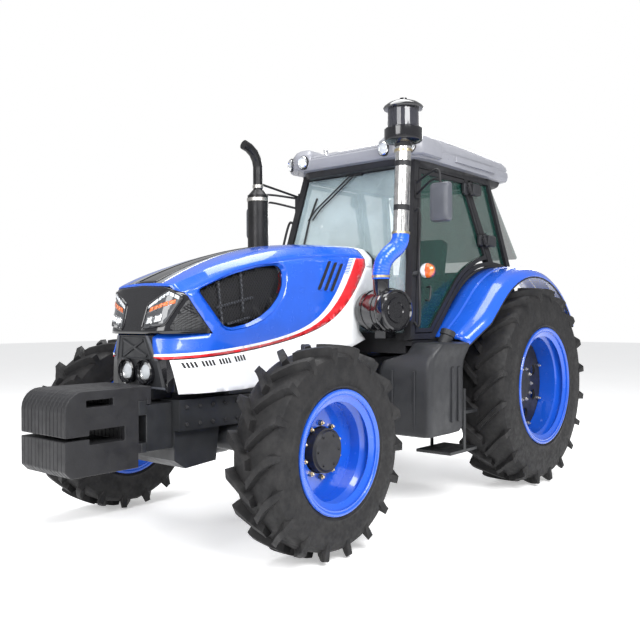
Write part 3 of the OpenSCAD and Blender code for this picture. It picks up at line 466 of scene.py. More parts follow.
class Shape:
    """Points and faces of a piece, collected from simple forms."""

    def __init__(self):
        self.points = []
        self.faces = []
        self.looks = []

    def add(self, points, faces, look=0):
        base = len(self.points)
        self.points += [Vector(p) for p in points]
        self.faces += [tuple(base + i for i in face) for face in faces]
        self.looks += [look] * len(faces)
        return self

    def loft(self, loops, look=0, closed=True, caps=True):
        """Skin through a row of equal loops."""
        n = len(loops[0])
        faces = []
        for j in range(len(loops) - 1):
            for i in range(n if closed else n - 1):
                k = (i + 1) % n
                faces.append((j * n + i, j * n + k, (j + 1) * n + k, (j + 1) * n + i))
        if caps and closed:
            faces.append(tuple(reversed(range(n))))
            faces.append(tuple(range((len(loops) - 1) * n, len(loops) * n)))
        return self.add([p for loop in loops for p in loop], faces, look)

    def tube(self, path, radius, sides=14, look=0):
        """Round tube along a path; radius may be a list."""
        path = [Vector(p) for p in path]
        radii = radius if isinstance(radius, list) else [radius] * len(path)
        side = None
        loops = []
        for i, point in enumerate(path):
            way = (path[min(i + 1, len(path) - 1)] - path[max(i - 1, 0)]).normalized()
            if side is None:
                side = way.orthogonal().normalized()
            side = (side - way * side.dot(way)).normalized()
            other = way.cross(side)
            loops.append([point + radii[i] * (math.cos(a) * side + math.sin(a) * other)
                          for a in (math.tau * k / sides for k in range(sides))])
        return self.loft(loops, look)

    def turned(self, profile, centre, axis, sides=40, look=0, caps=True):
        """Turned form: profile holds (radius, distance along the axis)."""
        axis = Vector(axis).normalized()
        side = axis.orthogonal().normalized()
        other = axis.cross(side)
        loops = [[Vector(centre) + axis * far + radius * (math.cos(a) * side + math.sin(a) * other)
                  for a in (math.tau * k / sides for k in range(sides))] for radius, far in profile]
        return self.loft(loops, look, caps=caps)

    def block(self, low, high, look=0, turn=None):
        """Box between two corners, turned about its middle."""
        middle = (Vector(low) + Vector(high)) / 2
        half = (Vector(high) - Vector(low)) / 2
        turn = turn or Matrix.Identity(3)
        corners = [middle + turn @ Vector((half.x * i, half.y * j, half.z * k))
                   for k in (-1, 1) for i, j in ((-1, -1), (1, -1), (1, 1), (-1, 1))]
        return self.loft([corners[:4], corners[4:]], look)

    def plate(self, outline, place, thick, look=0):
        """Flat outline laid on a surface by place(u, v, lift) and thickened."""
        return self.loft([[place(u, v, lift) for u, v in outline] for lift in (0.0, thick)], look)

    def patch(self, outline, place, step, holes=(), look=0):
        """Fine sheet inside a flat outline, less its holes, laid on a surface by place(u, v)."""
        loops = [spaced(list(loop), step) for loop in (outline, *holes)]
        points, edges = [], []
        for loop in loops:
            base = len(points)
            points += loop
            edges += [(base + i, base + (i + 1) % len(loop)) for i in range(len(loop))]
        flat = [[tuple(p) for p in loop] for loop in loops]

        def held(p):
            return inside(p, flat[0]) and not any(inside(p, hole) for hole in flat[1:])

        low = [min(p[k] for p in flat[0]) for k in (0, 1)]
        high = [max(p[k] for p in flat[0]) for k in (0, 1)]
        count = [max(1, round((high[k] - low[k]) / step)) for k in (0, 1)]
        near = 0.4 * step
        border = {(round(p[0] / near), round(p[1] / near)) for p in points}
        for u in steps(low[0], high[0], count[0]):
            for v in steps(low[1], high[1], count[1]):
                cell = (round(u / near), round(v / near))
                close = any((cell[0] + i, cell[1] + j) in border for i in (-1, 0, 1) for j in (-1, 0, 1))
                if not close and held((u, v)):
                    points.append(Vector((u, v)))
        corners, _, faces, *_ = delaunay_2d_cdt(points, edges, [], 0, 1e-7)
        kept = [face for face in faces
                if held(tuple(sum((corners[i] for i in face), Vector((0, 0))) / len(face)))]
        return self.add([place(*corner) for corner in corners], kept, look)

    def piping(self, loop, radius, sides, look=0):
        """Round tube along a closed loop."""
        return self.tube(loop + loop[:1], radius, sides, look)

    def band(self, inner, outer, half, slope, centre, axis, sides, look=0, far=0.0):
        """Raised ring round an axis, with sloped edges."""
        profile = [(inner, far - half), (outer, far - half + slope), (outer, far + half - slope),
                   (inner, far + half)]
        return self.turned(profile, centre, axis, sides, look)

    def moved(self, matrix):
        """This shape at another place."""
        made = Shape()
        made.points = [matrix @ p for p in self.points]
        made.faces = list(self.faces)
        made.looks = list(self.looks)
        return made

    def flipped(self):
        """Moves this shape to the other side of the centre line."""
        made = Shape()
        made.points = [Vector((p.x, -p.y, p.z)) for p in self.points]
        made.faces = [tuple(reversed(face)) for face in self.faces]
        made.looks = list(self.looks)
        return made


def mesh_of(name, shape, looks, outward=None, crease=32):
    """Mesh of a shape in the shared frame, with doubles merged and faces outward."""
    mesh = bpy.data.meshes.new(name)
    mesh.from_pydata([p + SHIFT for p in shape.points], [], shape.faces)
    for finish in looks:
        mesh.materials.append(look(finish))
    mesh.polygons.foreach_set("material_index", shape.looks)
    work = bmesh.new()
    work.from_mesh(mesh)
    bmesh.ops.remove_doubles(work, verts=work.verts, dist=1e-5)
    loose = [v for v in work.verts if not v.link_faces]
    bmesh.ops.delete(work, geom=loose, context="VERTS")
    bmesh.ops.recalc_face_normals(work, faces=work.faces)
    if outward:
        turned = [face for face in work.faces if face.normal.dot(outward(face.calc_center_median())) < 0]
        bmesh.ops.reverse_faces(work, faces=turned)
    work.to_mesh(mesh)
    work.free()
    mesh.polygons.foreach_set("use_smooth", [True] * len(mesh.polygons))
    mesh.set_sharp_from_angle(angle=math.radians(crease))
    return mesh


def settle(piece, body, replaces=()):
    """Gives a finished piece its body and hides the nodes that it stands for."""
    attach(piece, body)
    if replaces:
        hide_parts(*replaces)
    return piece


def make(name, shape, looks, body, replaces=(), bevel=0.0, wall=0.0, outward=None, crease=32):
    """Turns a shape into a finished piece of the tractor."""
    piece = bpy.data.objects.new(name, mesh_of(name, shape, looks, outward, crease))
    bpy.context.scene.collection.objects.link(piece)
    if wall:
        solid = piece.modifiers.new("wall", "SOLIDIFY")
        solid.thickness = wall
        solid.offset = -1
    if bevel:
        soften(piece, bevel)
    return settle(piece, body, replaces)


def soften(piece, width):
    """Rounds the hard edges of a piece."""
    rounding = piece.modifiers.new("edges", "BEVEL")
    rounding.width = width
    rounding.segments = 2
    rounding.limit_method = "ANGLE"
    rounding.angle_limit = EDGE_ANGLE


# Repeats made by Geometry Nodes


def repeat_tree():
    """Node tree that sets a unit on every point of a cloud, turned by the point's own angles."""
    name = "units_on_points"
    if name in bpy.data.node_groups:
        return bpy.data.node_groups[name]
    tree = bpy.data.node_groups.new(name, "GeometryNodeTree")
    for socket, way, kind in (("Points", "INPUT", "Geometry"), ("Unit", "INPUT", "Object"),
                              ("Size", "INPUT", "Float"), ("Finish", "INPUT", "Material"),
                              ("Units", "OUTPUT", "Geometry")):
        tree.interface.new_socket(socket, in_out=way, socket_type="NodeSocket" + kind)
    given, cloud, unit, angles, spots, real, finish, out = (tree.nodes.new(kind) for kind in (
        "NodeGroupInput", "GeometryNodeMeshToPoints", "GeometryNodeObjectInfo",
        "GeometryNodeInputNamedAttribute", "GeometryNodeInstanceOnPoints", "GeometryNodeRealizeInstances",
        "GeometryNodeSetMaterial", "NodeGroupOutput"))
    angles.data_type = "FLOAT_VECTOR"
    angles.inputs["Name"].default_value = "angles"
    for source, output, target, entry in (
            (given, "Points", cloud, "Mesh"), (given, "Unit", unit, "Object"),
            (cloud, "Points", spots, "Points"), (unit, "Geometry", spots, "Instance"),
            (angles, "Attribute", spots, "Rotation"), (given, "Size", spots, "Scale"),
            (spots, "Instances", real, "Geometry"), (real, "Geometry", finish, "Geometry"),
            (given, "Finish", finish, "Material"), (finish, "Geometry", out, "Units")):
        tree.links.new(source.outputs[output], target.inputs[entry])
    return tree


def repeat(name, unit, places, finish, body, size=1.0, replaces=(), extra=None):
    """Copies of a small unit at (point, direction, roll) places, as one plain mesh piece."""
    unit_mesh = mesh_of(name + "_unit", unit, [finish])
    unit_mesh.transform(Matrix.Translation(-SHIFT))
    pattern = bpy.data.objects.new(name + "_unit", unit_mesh)
    cloud = bpy.data.meshes.new(name)
    cloud.from_pydata([Vector(point) + SHIFT for point, *_ in places], [], [])
    angles = cloud.attributes.new("angles", "FLOAT_VECTOR", "POINT")
    for i, (_, way, roll) in enumerate(places):
        turn = Vector(way).to_track_quat("Z", "Y").to_matrix() @ Matrix.Rotation(roll, 3, "Z")
        angles.data[i].vector = turn.to_euler()
    piece = bpy.data.objects.new(name, cloud)
    bpy.context.scene.collection.objects.link(piece)
    tree = repeat_tree()
    copier = piece.modifiers.new("repeat", "NODES")
    copier.node_group = tree
    sockets = {item.name: item.identifier for item in tree.interface.items_tree if item.in_out == "INPUT"}
    copier[sockets["Unit"]] = pattern
    copier[sockets["Size"]] = size
    copier[sockets["Finish"]] = look(finish)
    shown = piece.evaluated_get(bpy.context.evaluated_depsgraph_get())
    plain = bpy.data.meshes.new_from_object(shown)
    piece.modifiers.clear()
    piece.data = plain
    plain.name = name
    bpy.data.objects.remove(pattern)
    bpy.data.meshes.remove(cloud)
    if extra:
        join_shape(piece, extra[0], extra[1])
    return settle(piece, body, replaces)


def join_shape(piece, shape, looks):
    """Adds a shape's faces to a piece's own mesh."""
    other = mesh_of("joined", shape, looks)
    base = len(piece.data.materials)
    for finish in looks:
        piece.data.materials.append(look(finish))
    for face in other.polygons:
        face.material_index += base
    work = bmesh.new()
    work.from_mesh(piece.data)
    work.from_mesh(other)
    work.to_mesh(piece.data)
    work.free()
    bpy.data.meshes.remove(other)


def nut(radius, height):
    """Six-sided nut with a rounded stud end, drawn along Z from its seat."""
    stud = radius * 0.5
    shape = Shape()
    shape.turned([(radius, 0), (radius, height * 0.8), (radius * 0.85, height)], (0, 0, 0), UP, sides=6)
    shape.turned([(stud, height * 0.9), (stud, height * 1.5), (radius * 0.3, height * 1.65)], (0, 0, 0), UP,
                 sides=10)
    return shape


# The hood's driving curves, shared by its panels

NOSE_X = 3.48
HOOD_LENGTH = 1.91
HOOD_REAR = NOSE_X - HOOD_LENGTH
HOOD_BACK = 1.535
LIP_X = 3.40
LIP_HALF = 0.345
CREST_Z = 2.045
CREST_SLOPE = 0.030
CREST_FALL = 0.343
CREST_POWER = 2.5
BROW_DROP = 0.115
BROW_LIFT = 0.030
BROW_WIDTHS = [(1.40, 0.395), (2.5, 0.368), (3.1, 0.355), (3.32, 0.345), (3.42, 0.29), (3.50, 0.18)]
BELT_Z = 1.42
BELT_WIDTHS = [(1.40, 0.430), (2.6, 0.424), (3.05, 0.412), (3.25, 0.374), (3.40, 0.292), (3.49, 0.180)]
FLANK_POWER = 1.25
TUCK_Z = 1.16
TUCK = 0.16
CHIN_X = 3.15
CHIN_Z = 1.24
CHIN_RAMP = 0.12
CHIN_FADE = 0.1
CHIN_DEPTH = 0.20
MASK_LOW = 1.364
MASK_HEIGHT = 0.276
MASK_HALF = 0.402
MASK_TOP = [(0, 1.678), (0.2, 1.664), (0.275, 1.645), (0.345, 1.618), (0.362, 1.54), (0.402, 1.366)]
SEAM_Z = 1.200
SEAM_SLOPE = 0.05
SEAM_BOW = 0.27
SEAM_RISE = 0.377
SEAM_POWER = 9.0
LEAN = 0.06
LEAN_Z = 1.45
LEAN_SPAN = 0.45
LEAN_POWER = 1.25
STRIPE_TOP = 1.925
STRIPE_WIDTH = 0.036
STRIPE_GROWTH = 0.79
STRIPE_POWER = 8.0
RED_SHARE = 0.27
HATCH_SHARE = 0.34
HATCH_Z = 1.80
HATCH_RATE = 520.0


def hood_share(x):
    """Share of the way from the hood's rear to its lip."""
    return max(0.0, (x - HOOD_REAR) / (LIP_X - HOOD_REAR))


def crest(x):
    """Height of the hood on its centre line."""
    u = hood_share(x)
    return CREST_Z - CREST_SLOPE * u - CREST_FALL * u**CREST_POWER


def seam(x):
    """Height of the joint between the hood and the white side panel."""
    back = max(0.0, (NOSE_X - x) / HOOD_LENGTH)
    return SEAM_Z + SEAM_SLOPE * back + SEAM_BOW * back**2 + SEAM_RISE * back**SEAM_POWER


def leaned(x, z):
    """Point of a line drawn for upright flanks, moved back where the flank leans in."""
    return x - LEAN * max(0.0, (z - LEAN_Z) / LEAN_SPAN) ** LEAN_POWER, z


def brow(x):
    """Height of the crease between the hood's top and its flank."""
    return crest(x) - BROW_DROP + BROW_LIFT * hood_share(x) ** 4


def brow_width(x):
    return spline(x, BROW_WIDTHS)


def belt_width(x):
    return spline(x, BELT_WIDTHS)


def flank(x, z):
    """Half width of the hood and side panels at height z."""
    top, belt = brow_width(x), belt_width(x)
    up = max(0.0, (z - BELT_Z) / (brow(x) - BELT_Z))
    chin = 0.0
    if x > CHIN_X and z > CHIN_Z:
        fade = max(0.0, 1 - max(0, z - MASK_LOW) / CHIN_FADE)
        chin = CHIN_DEPTH * (x - CHIN_X) * min(1.0, (z - CHIN_Z) / CHIN_RAMP) * fade
    tuck = TUCK * max(0.0, TUCK_Z - z) ** 1.5
    return belt - (belt - top) * min(1.2, up) ** FLANK_POWER - chin - tuck


def on_flank(lift, side=1):
    """Place on the hood's side skin at (x, z), lifted off it."""
    return lambda x, z, more=0.0: Vector((x, side * (flank(x, z) + lift + more), z))


def outward_of_middle(point):
    """Direction away from the hood's inner axis."""
    return Vector((0.35 if point.x - SHIFT.x > 3.3 else 0.0, point.y, point.z - 1.35))


FLOOR_HALF = 40
FLOOR_TONES = [(NOISE_LOW, (0.86, 0.86, 0.86)), (NOISE_HIGH, (0.9, 0.9, 0.9))]
FLOOR_GLOW = 0.42
SKY_LIGHT = 0.45
# Name, place, aim, size and power of each lamp
LAMPS = (
    ("key", (3.0, 6.5, 6.5), (0.3, 0, 1.2), (5, 4), 850),
    ("front", (8.0, 1.0, 4.5), (1.0, 0, 1.2), (4, 4), 340),
    ("top", (-0.5, -1.0, 8.0), (-0.3, 0, 1.0), (6, 4), 420),
    ("back", (-7.0, -3.0, 4.0), (-1, 0, 1.2), (4, 3), 250),
)
CAMERA_PLACE = Vector((6.4902, 4.1224, 1.459))
CAMERA_YAW, CAMERA_PITCH, CAMERA_ROLL = 3.8459, -0.009, -0.0034
CAMERA_SHIFT = (0.0023, 0.0077)


class TRACTOR_OT_stage(bpy.types.Operator):
    """Sets the floor, the lights and the camera of the photograph's view"""

    bl_idname = "tractor.stage"
    bl_label = "Stage"

    def execute(self, context):
        scene = context.scene
        self.floor(scene)
        self.sky(scene)
        for lamp in LAMPS:
            self.lamp(scene, *lamp)
        self.camera(scene)
        return {"FINISHED"}

    def floor(self, scene):
        """Pale floor that glows a little, so that it meets the white backdrop."""
        corners = rectangle(-FLOOR_HALF, FLOOR_HALF, -FLOOR_HALF, FLOOR_HALF)
        mesh = mesh_of("floor", Shape().add(level(0, corners), [(0, 1, 2, 3)]), [])
        mesh.transform(Matrix.Translation(-SHIFT))
        floor = bpy.data.objects.new("floor", mesh)
        ground = Finish("pale_floor")
        ground.set(Base_Color=ground.ramp(ground.noise(0.8), FLOOR_TONES), Roughness=0.85,
                   Emission_Color=(1, 1, 1, 1), Emission_Strength=FLOOR_GLOW)
        mesh.materials.append(ground.material)
        scene.collection.objects.link(floor)

    def sky(self, scene):
        """Soft light from all round, with a white backdrop for the camera."""
        world = scene.world or bpy.data.worlds.new("studio")
        scene.world = world
        world.use_nodes = True
        tree = world.node_tree
        sky = tree.nodes["Background"]
        sky.inputs["Color"].default_value = (0.97, 0.98, 1.0, 1)
        sky.inputs["Strength"].default_value = SKY_LIGHT
        backdrop = tree.nodes.new("ShaderNodeBackground")
        backdrop.inputs["Color"].default_value = (1, 1, 1, 1)
        seen = tree.nodes.new("ShaderNodeLightPath")
        mix = tree.nodes.new("ShaderNodeMixShader")
        for i, output in enumerate((seen.outputs["Is Camera Ray"], sky.outputs[0], backdrop.outputs[0])):
            tree.links.new(output, mix.inputs[i])
        tree.links.new(mix.outputs[0], tree.nodes["World Output"].inputs[0])
        scene.view_settings.view_transform = "Standard"

    def lamp(self, scene, name, place, aim, size, power):
        """Area lamp turned to its aim."""
        data = bpy.data.lights.new(name, "AREA")
        data.shape = "RECTANGLE"
        data.size, data.size_y = size
        data.energy = power
        made = bpy.data.objects.new(name, data)
        made.location = place
        made.rotation_euler = (Vector(aim) - Vector(place)).to_track_quat("-Z", "Y").to_euler()
        scene.collection.objects.link(made)

    def camera(self, scene):
        """Camera of the photograph's view."""
        data = bpy.data.cameras.new("photo_view")
        data.sensor_width = 36
        data.lens = sizes().lens
        data.shift_x, data.shift_y = CAMERA_SHIFT
        camera = bpy.data.objects.new("photo_view", data)
        flat = math.cos(CAMERA_PITCH)
        way = Vector((math.cos(CAMERA_YAW) * flat, math.sin(CAMERA_YAW) * flat, math.sin(CAMERA_PITCH)))
        camera.matrix_world = (Matrix.Translation(CAMERA_PLACE + SHIFT)
                               @ way.to_track_quat("-Z", "Y").to_matrix().to_4x4()
                               @ Matrix.Rotation(CAMERA_ROLL, 4, "Z"))
        scene.collection.objects.link(camera)
        scene.camera = camera


NODE_LOOKS = {
    "chassis": ["front_frame", "weight_bracket", "gearbox", "rear_axle", "front_axle", "knuckle_left",
                "knuckle_right", "drawbar", "lower_links", "lift_arms", "steps"],
    "iron": ["front_weights", "hub_fl", "hub_fr", "hub_rl", "hub_rr"],
    "engine": ["engine"],
    "machined": ["tie_rod", "pto_shaft", "lift_rods"],
    "rubber": ["tyre_fl", "tyre_fr", "tyre_rl", "tyre_rr"],
    "blue": ["rim_fl", "rim_fr", "rim_rl", "rim_rr", "hood_shell", "fender_left", "fender_right"],
    "gloss": ["nose_mask", "air_cleaner", "pre_cleaner"],
    "lens": ["headlamps", "roof_lamps", "marker_lamps"],
    "plastic": ["lamp_panel", "fuel_tank", "side_box", "console", "mirrors"],
    "white": ["side_panels"],
    "hose": ["intake_hose"],
    "stainless": ["intake_pipe"],
    "soot": ["exhaust"],
    "trim": ["cab_tub", "cab_frame", "door_left", "door_right", "steering_wheel"],
    "roof": ["roof"],
    "screen": ["windscreen"],
    "glass": ["side_glass", "rear_window", "door_glass_left", "door_glass_right"],
    "cloth": ["seat"],
}

CAST_EDGES = {"front_frame": 0.008, "weight_bracket": 0.006, "front_weights": 0.005, "gearbox": 0.012,
              "rear_axle": 0.010, "engine": 0.012, "lower_links": 0.006, "lift_arms": 0.006,
              "drawbar": 0.005, "steps": 0.003, "knuckle_left": 0.006, "knuckle_right": 0.006,
              "front_axle": 0.006, "cab_frame": 0.006, "door_left": 0.005, "door_right": 0.005,
              "console": 0.02, "fuel_tank": 0.018, "side_box": 0.018}
WELD = 0.00005


class TRACTOR_OT_castings(bpy.types.Operator):
    """Gives every solid its finish and rounds the cast edges"""

    bl_idname = "tractor.castings"
    bl_label = "Castings and finishes"

    def execute(self, context):
        for finish, names in NODE_LOOKS.items():
            for name in names:
                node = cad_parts[name]
                node.data.materials.clear()
                node.data.materials.append(look(finish))
        for name, width in CAST_EDGES.items():
            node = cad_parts[name]
            weld = node.modifiers.new("weld", "WELD")
            weld.merge_threshold = WELD
            soften(node, width)
        return {"FINISHED"}


# Wheels

WHEELS = {
    "fl": dict(x=2.84, y=1.032, r=0.650, w=0.360, rim=0.356, flange=0.170, shift=0.0),
    "fr": dict(x=2.84, y=-1.032, r=0.650, w=0.360, rim=0.356, flange=0.170, shift=0.11),
    "rl": dict(x=0.0, y=0.992, r=0.860, w=0.470, rim=0.483, flange=0.222, shift=0.05),
    "rr": dict(x=0.0, y=-0.992, r=0.860, w=0.470, rim=0.483, flange=0.222, shift=0.2),
}


# Stations of a tread bar: share of the half width, lag round the wheel, width, and drop of the tip
LUG_ROWS = [(-0.020, -0.012, 0.060, 0.0), (0.10, 0.055, 0.052, 0.0), (0.30, 0.17, 0.050, 0.0),
            (0.55, 0.32, 0.052, 0.0), (0.80, 0.44, 0.056, 0.0), (0.93, 0.49, 0.058, 0.002),
            (1.0, 0.51, 0.058, 0.010), (1.0, 0.515, 0.052, 0.050), (0.985, 0.515, 0.034, 0.115)]
LUG_RAKE = 1.75
LUG_FLARE = 0.024
LUG_PULL = 0.05
# Section of a rim's flange, as (distance past the bead, distance past the flange)
FLANGE_RING = [(-0.050, -0.030), (-0.022, -0.016), (-0.006, -0.012), (-0.002, 0.0), (0.008, 0.006),
               (0.020, 0.005), (0.024, -0.002), (0.018, -0.010), (0.004, -0.020), (-0.030, -0.036)]
RING_SIDES = 96


def tread(wheel, height):
    """Half of the carcass profile from bead to tread middle, as (radius, offset along the axle)."""
    r, rim, flange = wheel["r"], wheel["rim"], wheel["flange"]
    base = r - height
    half = wheel["w"] / 2 * 0.97
    bead = [(rim + 0.002, flange - 0.016), (rim + 0.026, flange - 0.013), (rim + 0.030, flange - 0.004),
            (rim + 0.045, flange + 0.006), (rim + 0.050, flange + 0.003)]
    wall = [(rim + 0.10 * r, half - 0.006), (rim + 0.16 * r, half),
            ((rim + base) / 2 + 0.07 * r, half - 0.001)]
    shoulder = [(base - 0.05 * r, half - 0.012), (base - 0.025 * r, half - 0.034),
                (base - 0.010 * r, half - 0.075), (base, half - 0.13)]
    return bead + wall + shoulder


def lug(wheel, height):
    """One tread bar from over the middle line to the shoulder, drawn at the top of the wheel about Y."""
    r, half = wheel["r"], wheel["w"] / 2 - 0.005
    loops = []
    for share, lag, width, low in LUG_ROWS:
        y = share * half
        angle = lag * half * LUG_RAKE / r
        tip = r - low - 0.006 * max(0.0, share) ** 2
        end = max(0.0, (share - 0.75) / 0.25)
        foot = min(r - height - 0.02 - 0.05 * end, tip - 0.03)
        wide, narrow = width / 2 + LUG_FLARE, width / 2
        loop = []
        for far, reach, pull in ((foot, wide, LUG_PULL), (tip, narrow, 0), (tip, -narrow, 0),
                                 (foot, -wide, LUG_PULL)):
            a = angle + reach * 0.85 / r
            loop.append(Vector((-far * math.sin(a), y - pull * end, far * math.cos(a))))
        loops.append(loop)
    return Shape().loft(loops)


def bolt_circle(wheel, out, radius, count, first=0.0):
    """Places of bolts round a wheel's axle, on a face that lies out from the tyre's middle plane."""
    side = math.copysign(1, wheel["y"])
    middle = Vector((wheel["x"], wheel["y"] + side * out, wheel["r"]))
    angles = [math.tau * (k + first) / count for k in range(count)]
    return [(middle + radius * Vector((math.cos(a), 0, math.sin(a))), LEFT * side, a) for a in angles]


class TRACTOR_OT_tyres(bpy.types.Operator):
    """Builds the four lugged tyres"""

    bl_idname = "tractor.tyres"
    bl_label = "Tyres"

    def execute(self, context):
        height = sizes().lug_height
        stand = Matrix.Rotation(math.pi / 2, 4, "X")
        for name, wheel in WHEELS.items():
            count = sizes().front_lugs if name[0] == "f" else sizes().rear_lugs
            middle = Vector((wheel["x"], wheel["y"], wheel["r"]))
            left = lug(wheel, height)
            right = left.flipped().moved(Matrix.Rotation(math.pi / count, 4, "Y"))
            pair = Shape()
            for bar in (left, right):
                pair.add(bar.moved(stand).points, bar.faces)
            half = tread(wheel, height)
            profile = half + [(radius, -far) for radius, far in reversed(half)]
            carcass = Shape().turned(profile + profile[:1], middle, LEFT, RING_SIDES, caps=False)
            spots = [(middle, LEFT, math.tau * k / count + wheel["shift"]) for k in range(count)]
            repeat("tyre_tread_" + name, pair, spots, "rubber", "wheel_" + name,
                   replaces=["tyre_" + name], extra=(carcass, ["rubber"]))
        return {"FINISHED"}


class TRACTOR_OT_wheel_nuts(bpy.types.Operator):
    """Adds the wheel nuts, the bolts of hubs and axles, and the rim flanges"""

    bl_idname = "tractor.wheel_nuts"
    bl_label = "Wheel nuts"

    def execute(self, context):
        for name, wheel in WHEELS.items():
            body = "wheel_" + name
            if name[0] == "f":
                repeat("hub_bolts_" + name, nut(0.009, 0.008), bolt_circle(wheel, 0.064, 0.098, 6), "iron",
                       body)
                spots, finish = bolt_circle(wheel, -0.004, 0.166, 10, 0.5), "brass"
            else:
                repeat("axle_nuts_" + name, nut(0.017, 0.018), bolt_circle(wheel, 0.008, 0.142, 10),
                       "machined", body)
                spots, finish = bolt_circle(wheel, -0.024, 0.395, 8, 0.5), "machined"
            repeat("wheel_nuts_" + name, nut(0.017, 0.022), spots, finish, body)
        for name, wheel in WHEELS.items():
            ring = FLANGE_RING + FLANGE_RING[:1]
            profile = [(wheel["rim"] + far, wheel["flange"] + along) for far, along in ring]
            middle = Vector((wheel["x"], wheel["y"], wheel["r"]))
            rings = Shape()
            for way in (LEFT, -LEFT):
                rings.turned(profile, middle, way, RING_SIDES, caps=False)
            make("rim_flanges_" + name, rings, ["blue"], "wheel_" + name, crease=50)
        return {"FINISHED"}


# Hood, nose and side panels

WINDOW = [(3.235, 1.640), (3.06, 1.715), (2.905, 1.776), (2.70, 1.824), (2.495, 1.846), (2.440, 1.805),
          (2.455, 1.690), (2.505, 1.605), (2.595, 1.518), (2.710, 1.450), (2.85, 1.404), (3.00, 1.382),
          (3.065, 1.395)]
WINDOW_STAYS = ([(3.03, 1.42), (3.02, 1.70)], [(3.06, 1.53), (2.74, 1.60)], [(2.99, 1.42), (2.79, 1.465)],
                [(2.84, 1.50), (2.82, 1.77)])
LOUVRE_WIDTH, LOUVRE_LEAN = 0.034, 0.150
BAND_FRONT, BAND_BACK = 3.37, 2.40


def hood_half(x):
    """Half section of the hood's top from the crest to the brow crease."""
    c, s, z = crest(x), brow_width(x), brow(x)
    crown = straight(x, [(2.8, 1.0), (LIP_X, 0.35)])
    return [(0, c), (0.30 * s, c - 0.004 * crown), (0.55 * s, c - 0.014 * crown),
            (0.76 * s, c - 0.030 * crown), (0.83 * s, c - 0.044 * crown), (0.93 * s, z + 0.032 * crown),
            (s, z)]


def on_top(lift):
    """Place on the hood's top at (x, y), lifted off it."""
    return lambda x, y, more=0.0: Vector((x, y, straight(abs(y), hood_half(x)) + lift + more))


def hood_sheet(first, last_of, rows):
    """Sheet over the hood's top from station first to last_of(share of the half width)."""
    shares = [point[0] / brow_width(2.0) for point in hood_half(2.0)]
    shares = [-share for share in reversed(shares[1:])] + shares
    grid = []
    for t in steps(0, 1, rows):
        row = []
        for share in shares:
            x = first + t * (last_of(abs(share)) - first)
            row.append(on_top(0.0)(x, share * brow_width(x)))
        grid.append(row)
    return Shape().loft(grid, closed=False, caps=False)


def lattice(shape, outline, place, pitch, slope, radius):
    """Crossed bars inside a flat outline, laid on a surface by place(u, v)."""
    low = [min(p[k] for p in outline) for k in (0, 1)]
    high = [max(p[k] for p in outline) for k in (0, 1)]
    reach = (high[1] - low[1]) / slope
    count = int((high[0] - low[0] + reach) / pitch) + 1
    for way, first, foot in ((1, low[0] - reach, low[1]), (-1, low[0], high[1])):
        for k in range(count):
            line = [(first + k * pitch + way * (v - foot) / slope, v) for v in steps(low[1], high[1], 16)]
            run = [place(*point) for point in line if inside(point, outline)]
            if len(run) > 1:
                shape.tube(run, radius, 4)


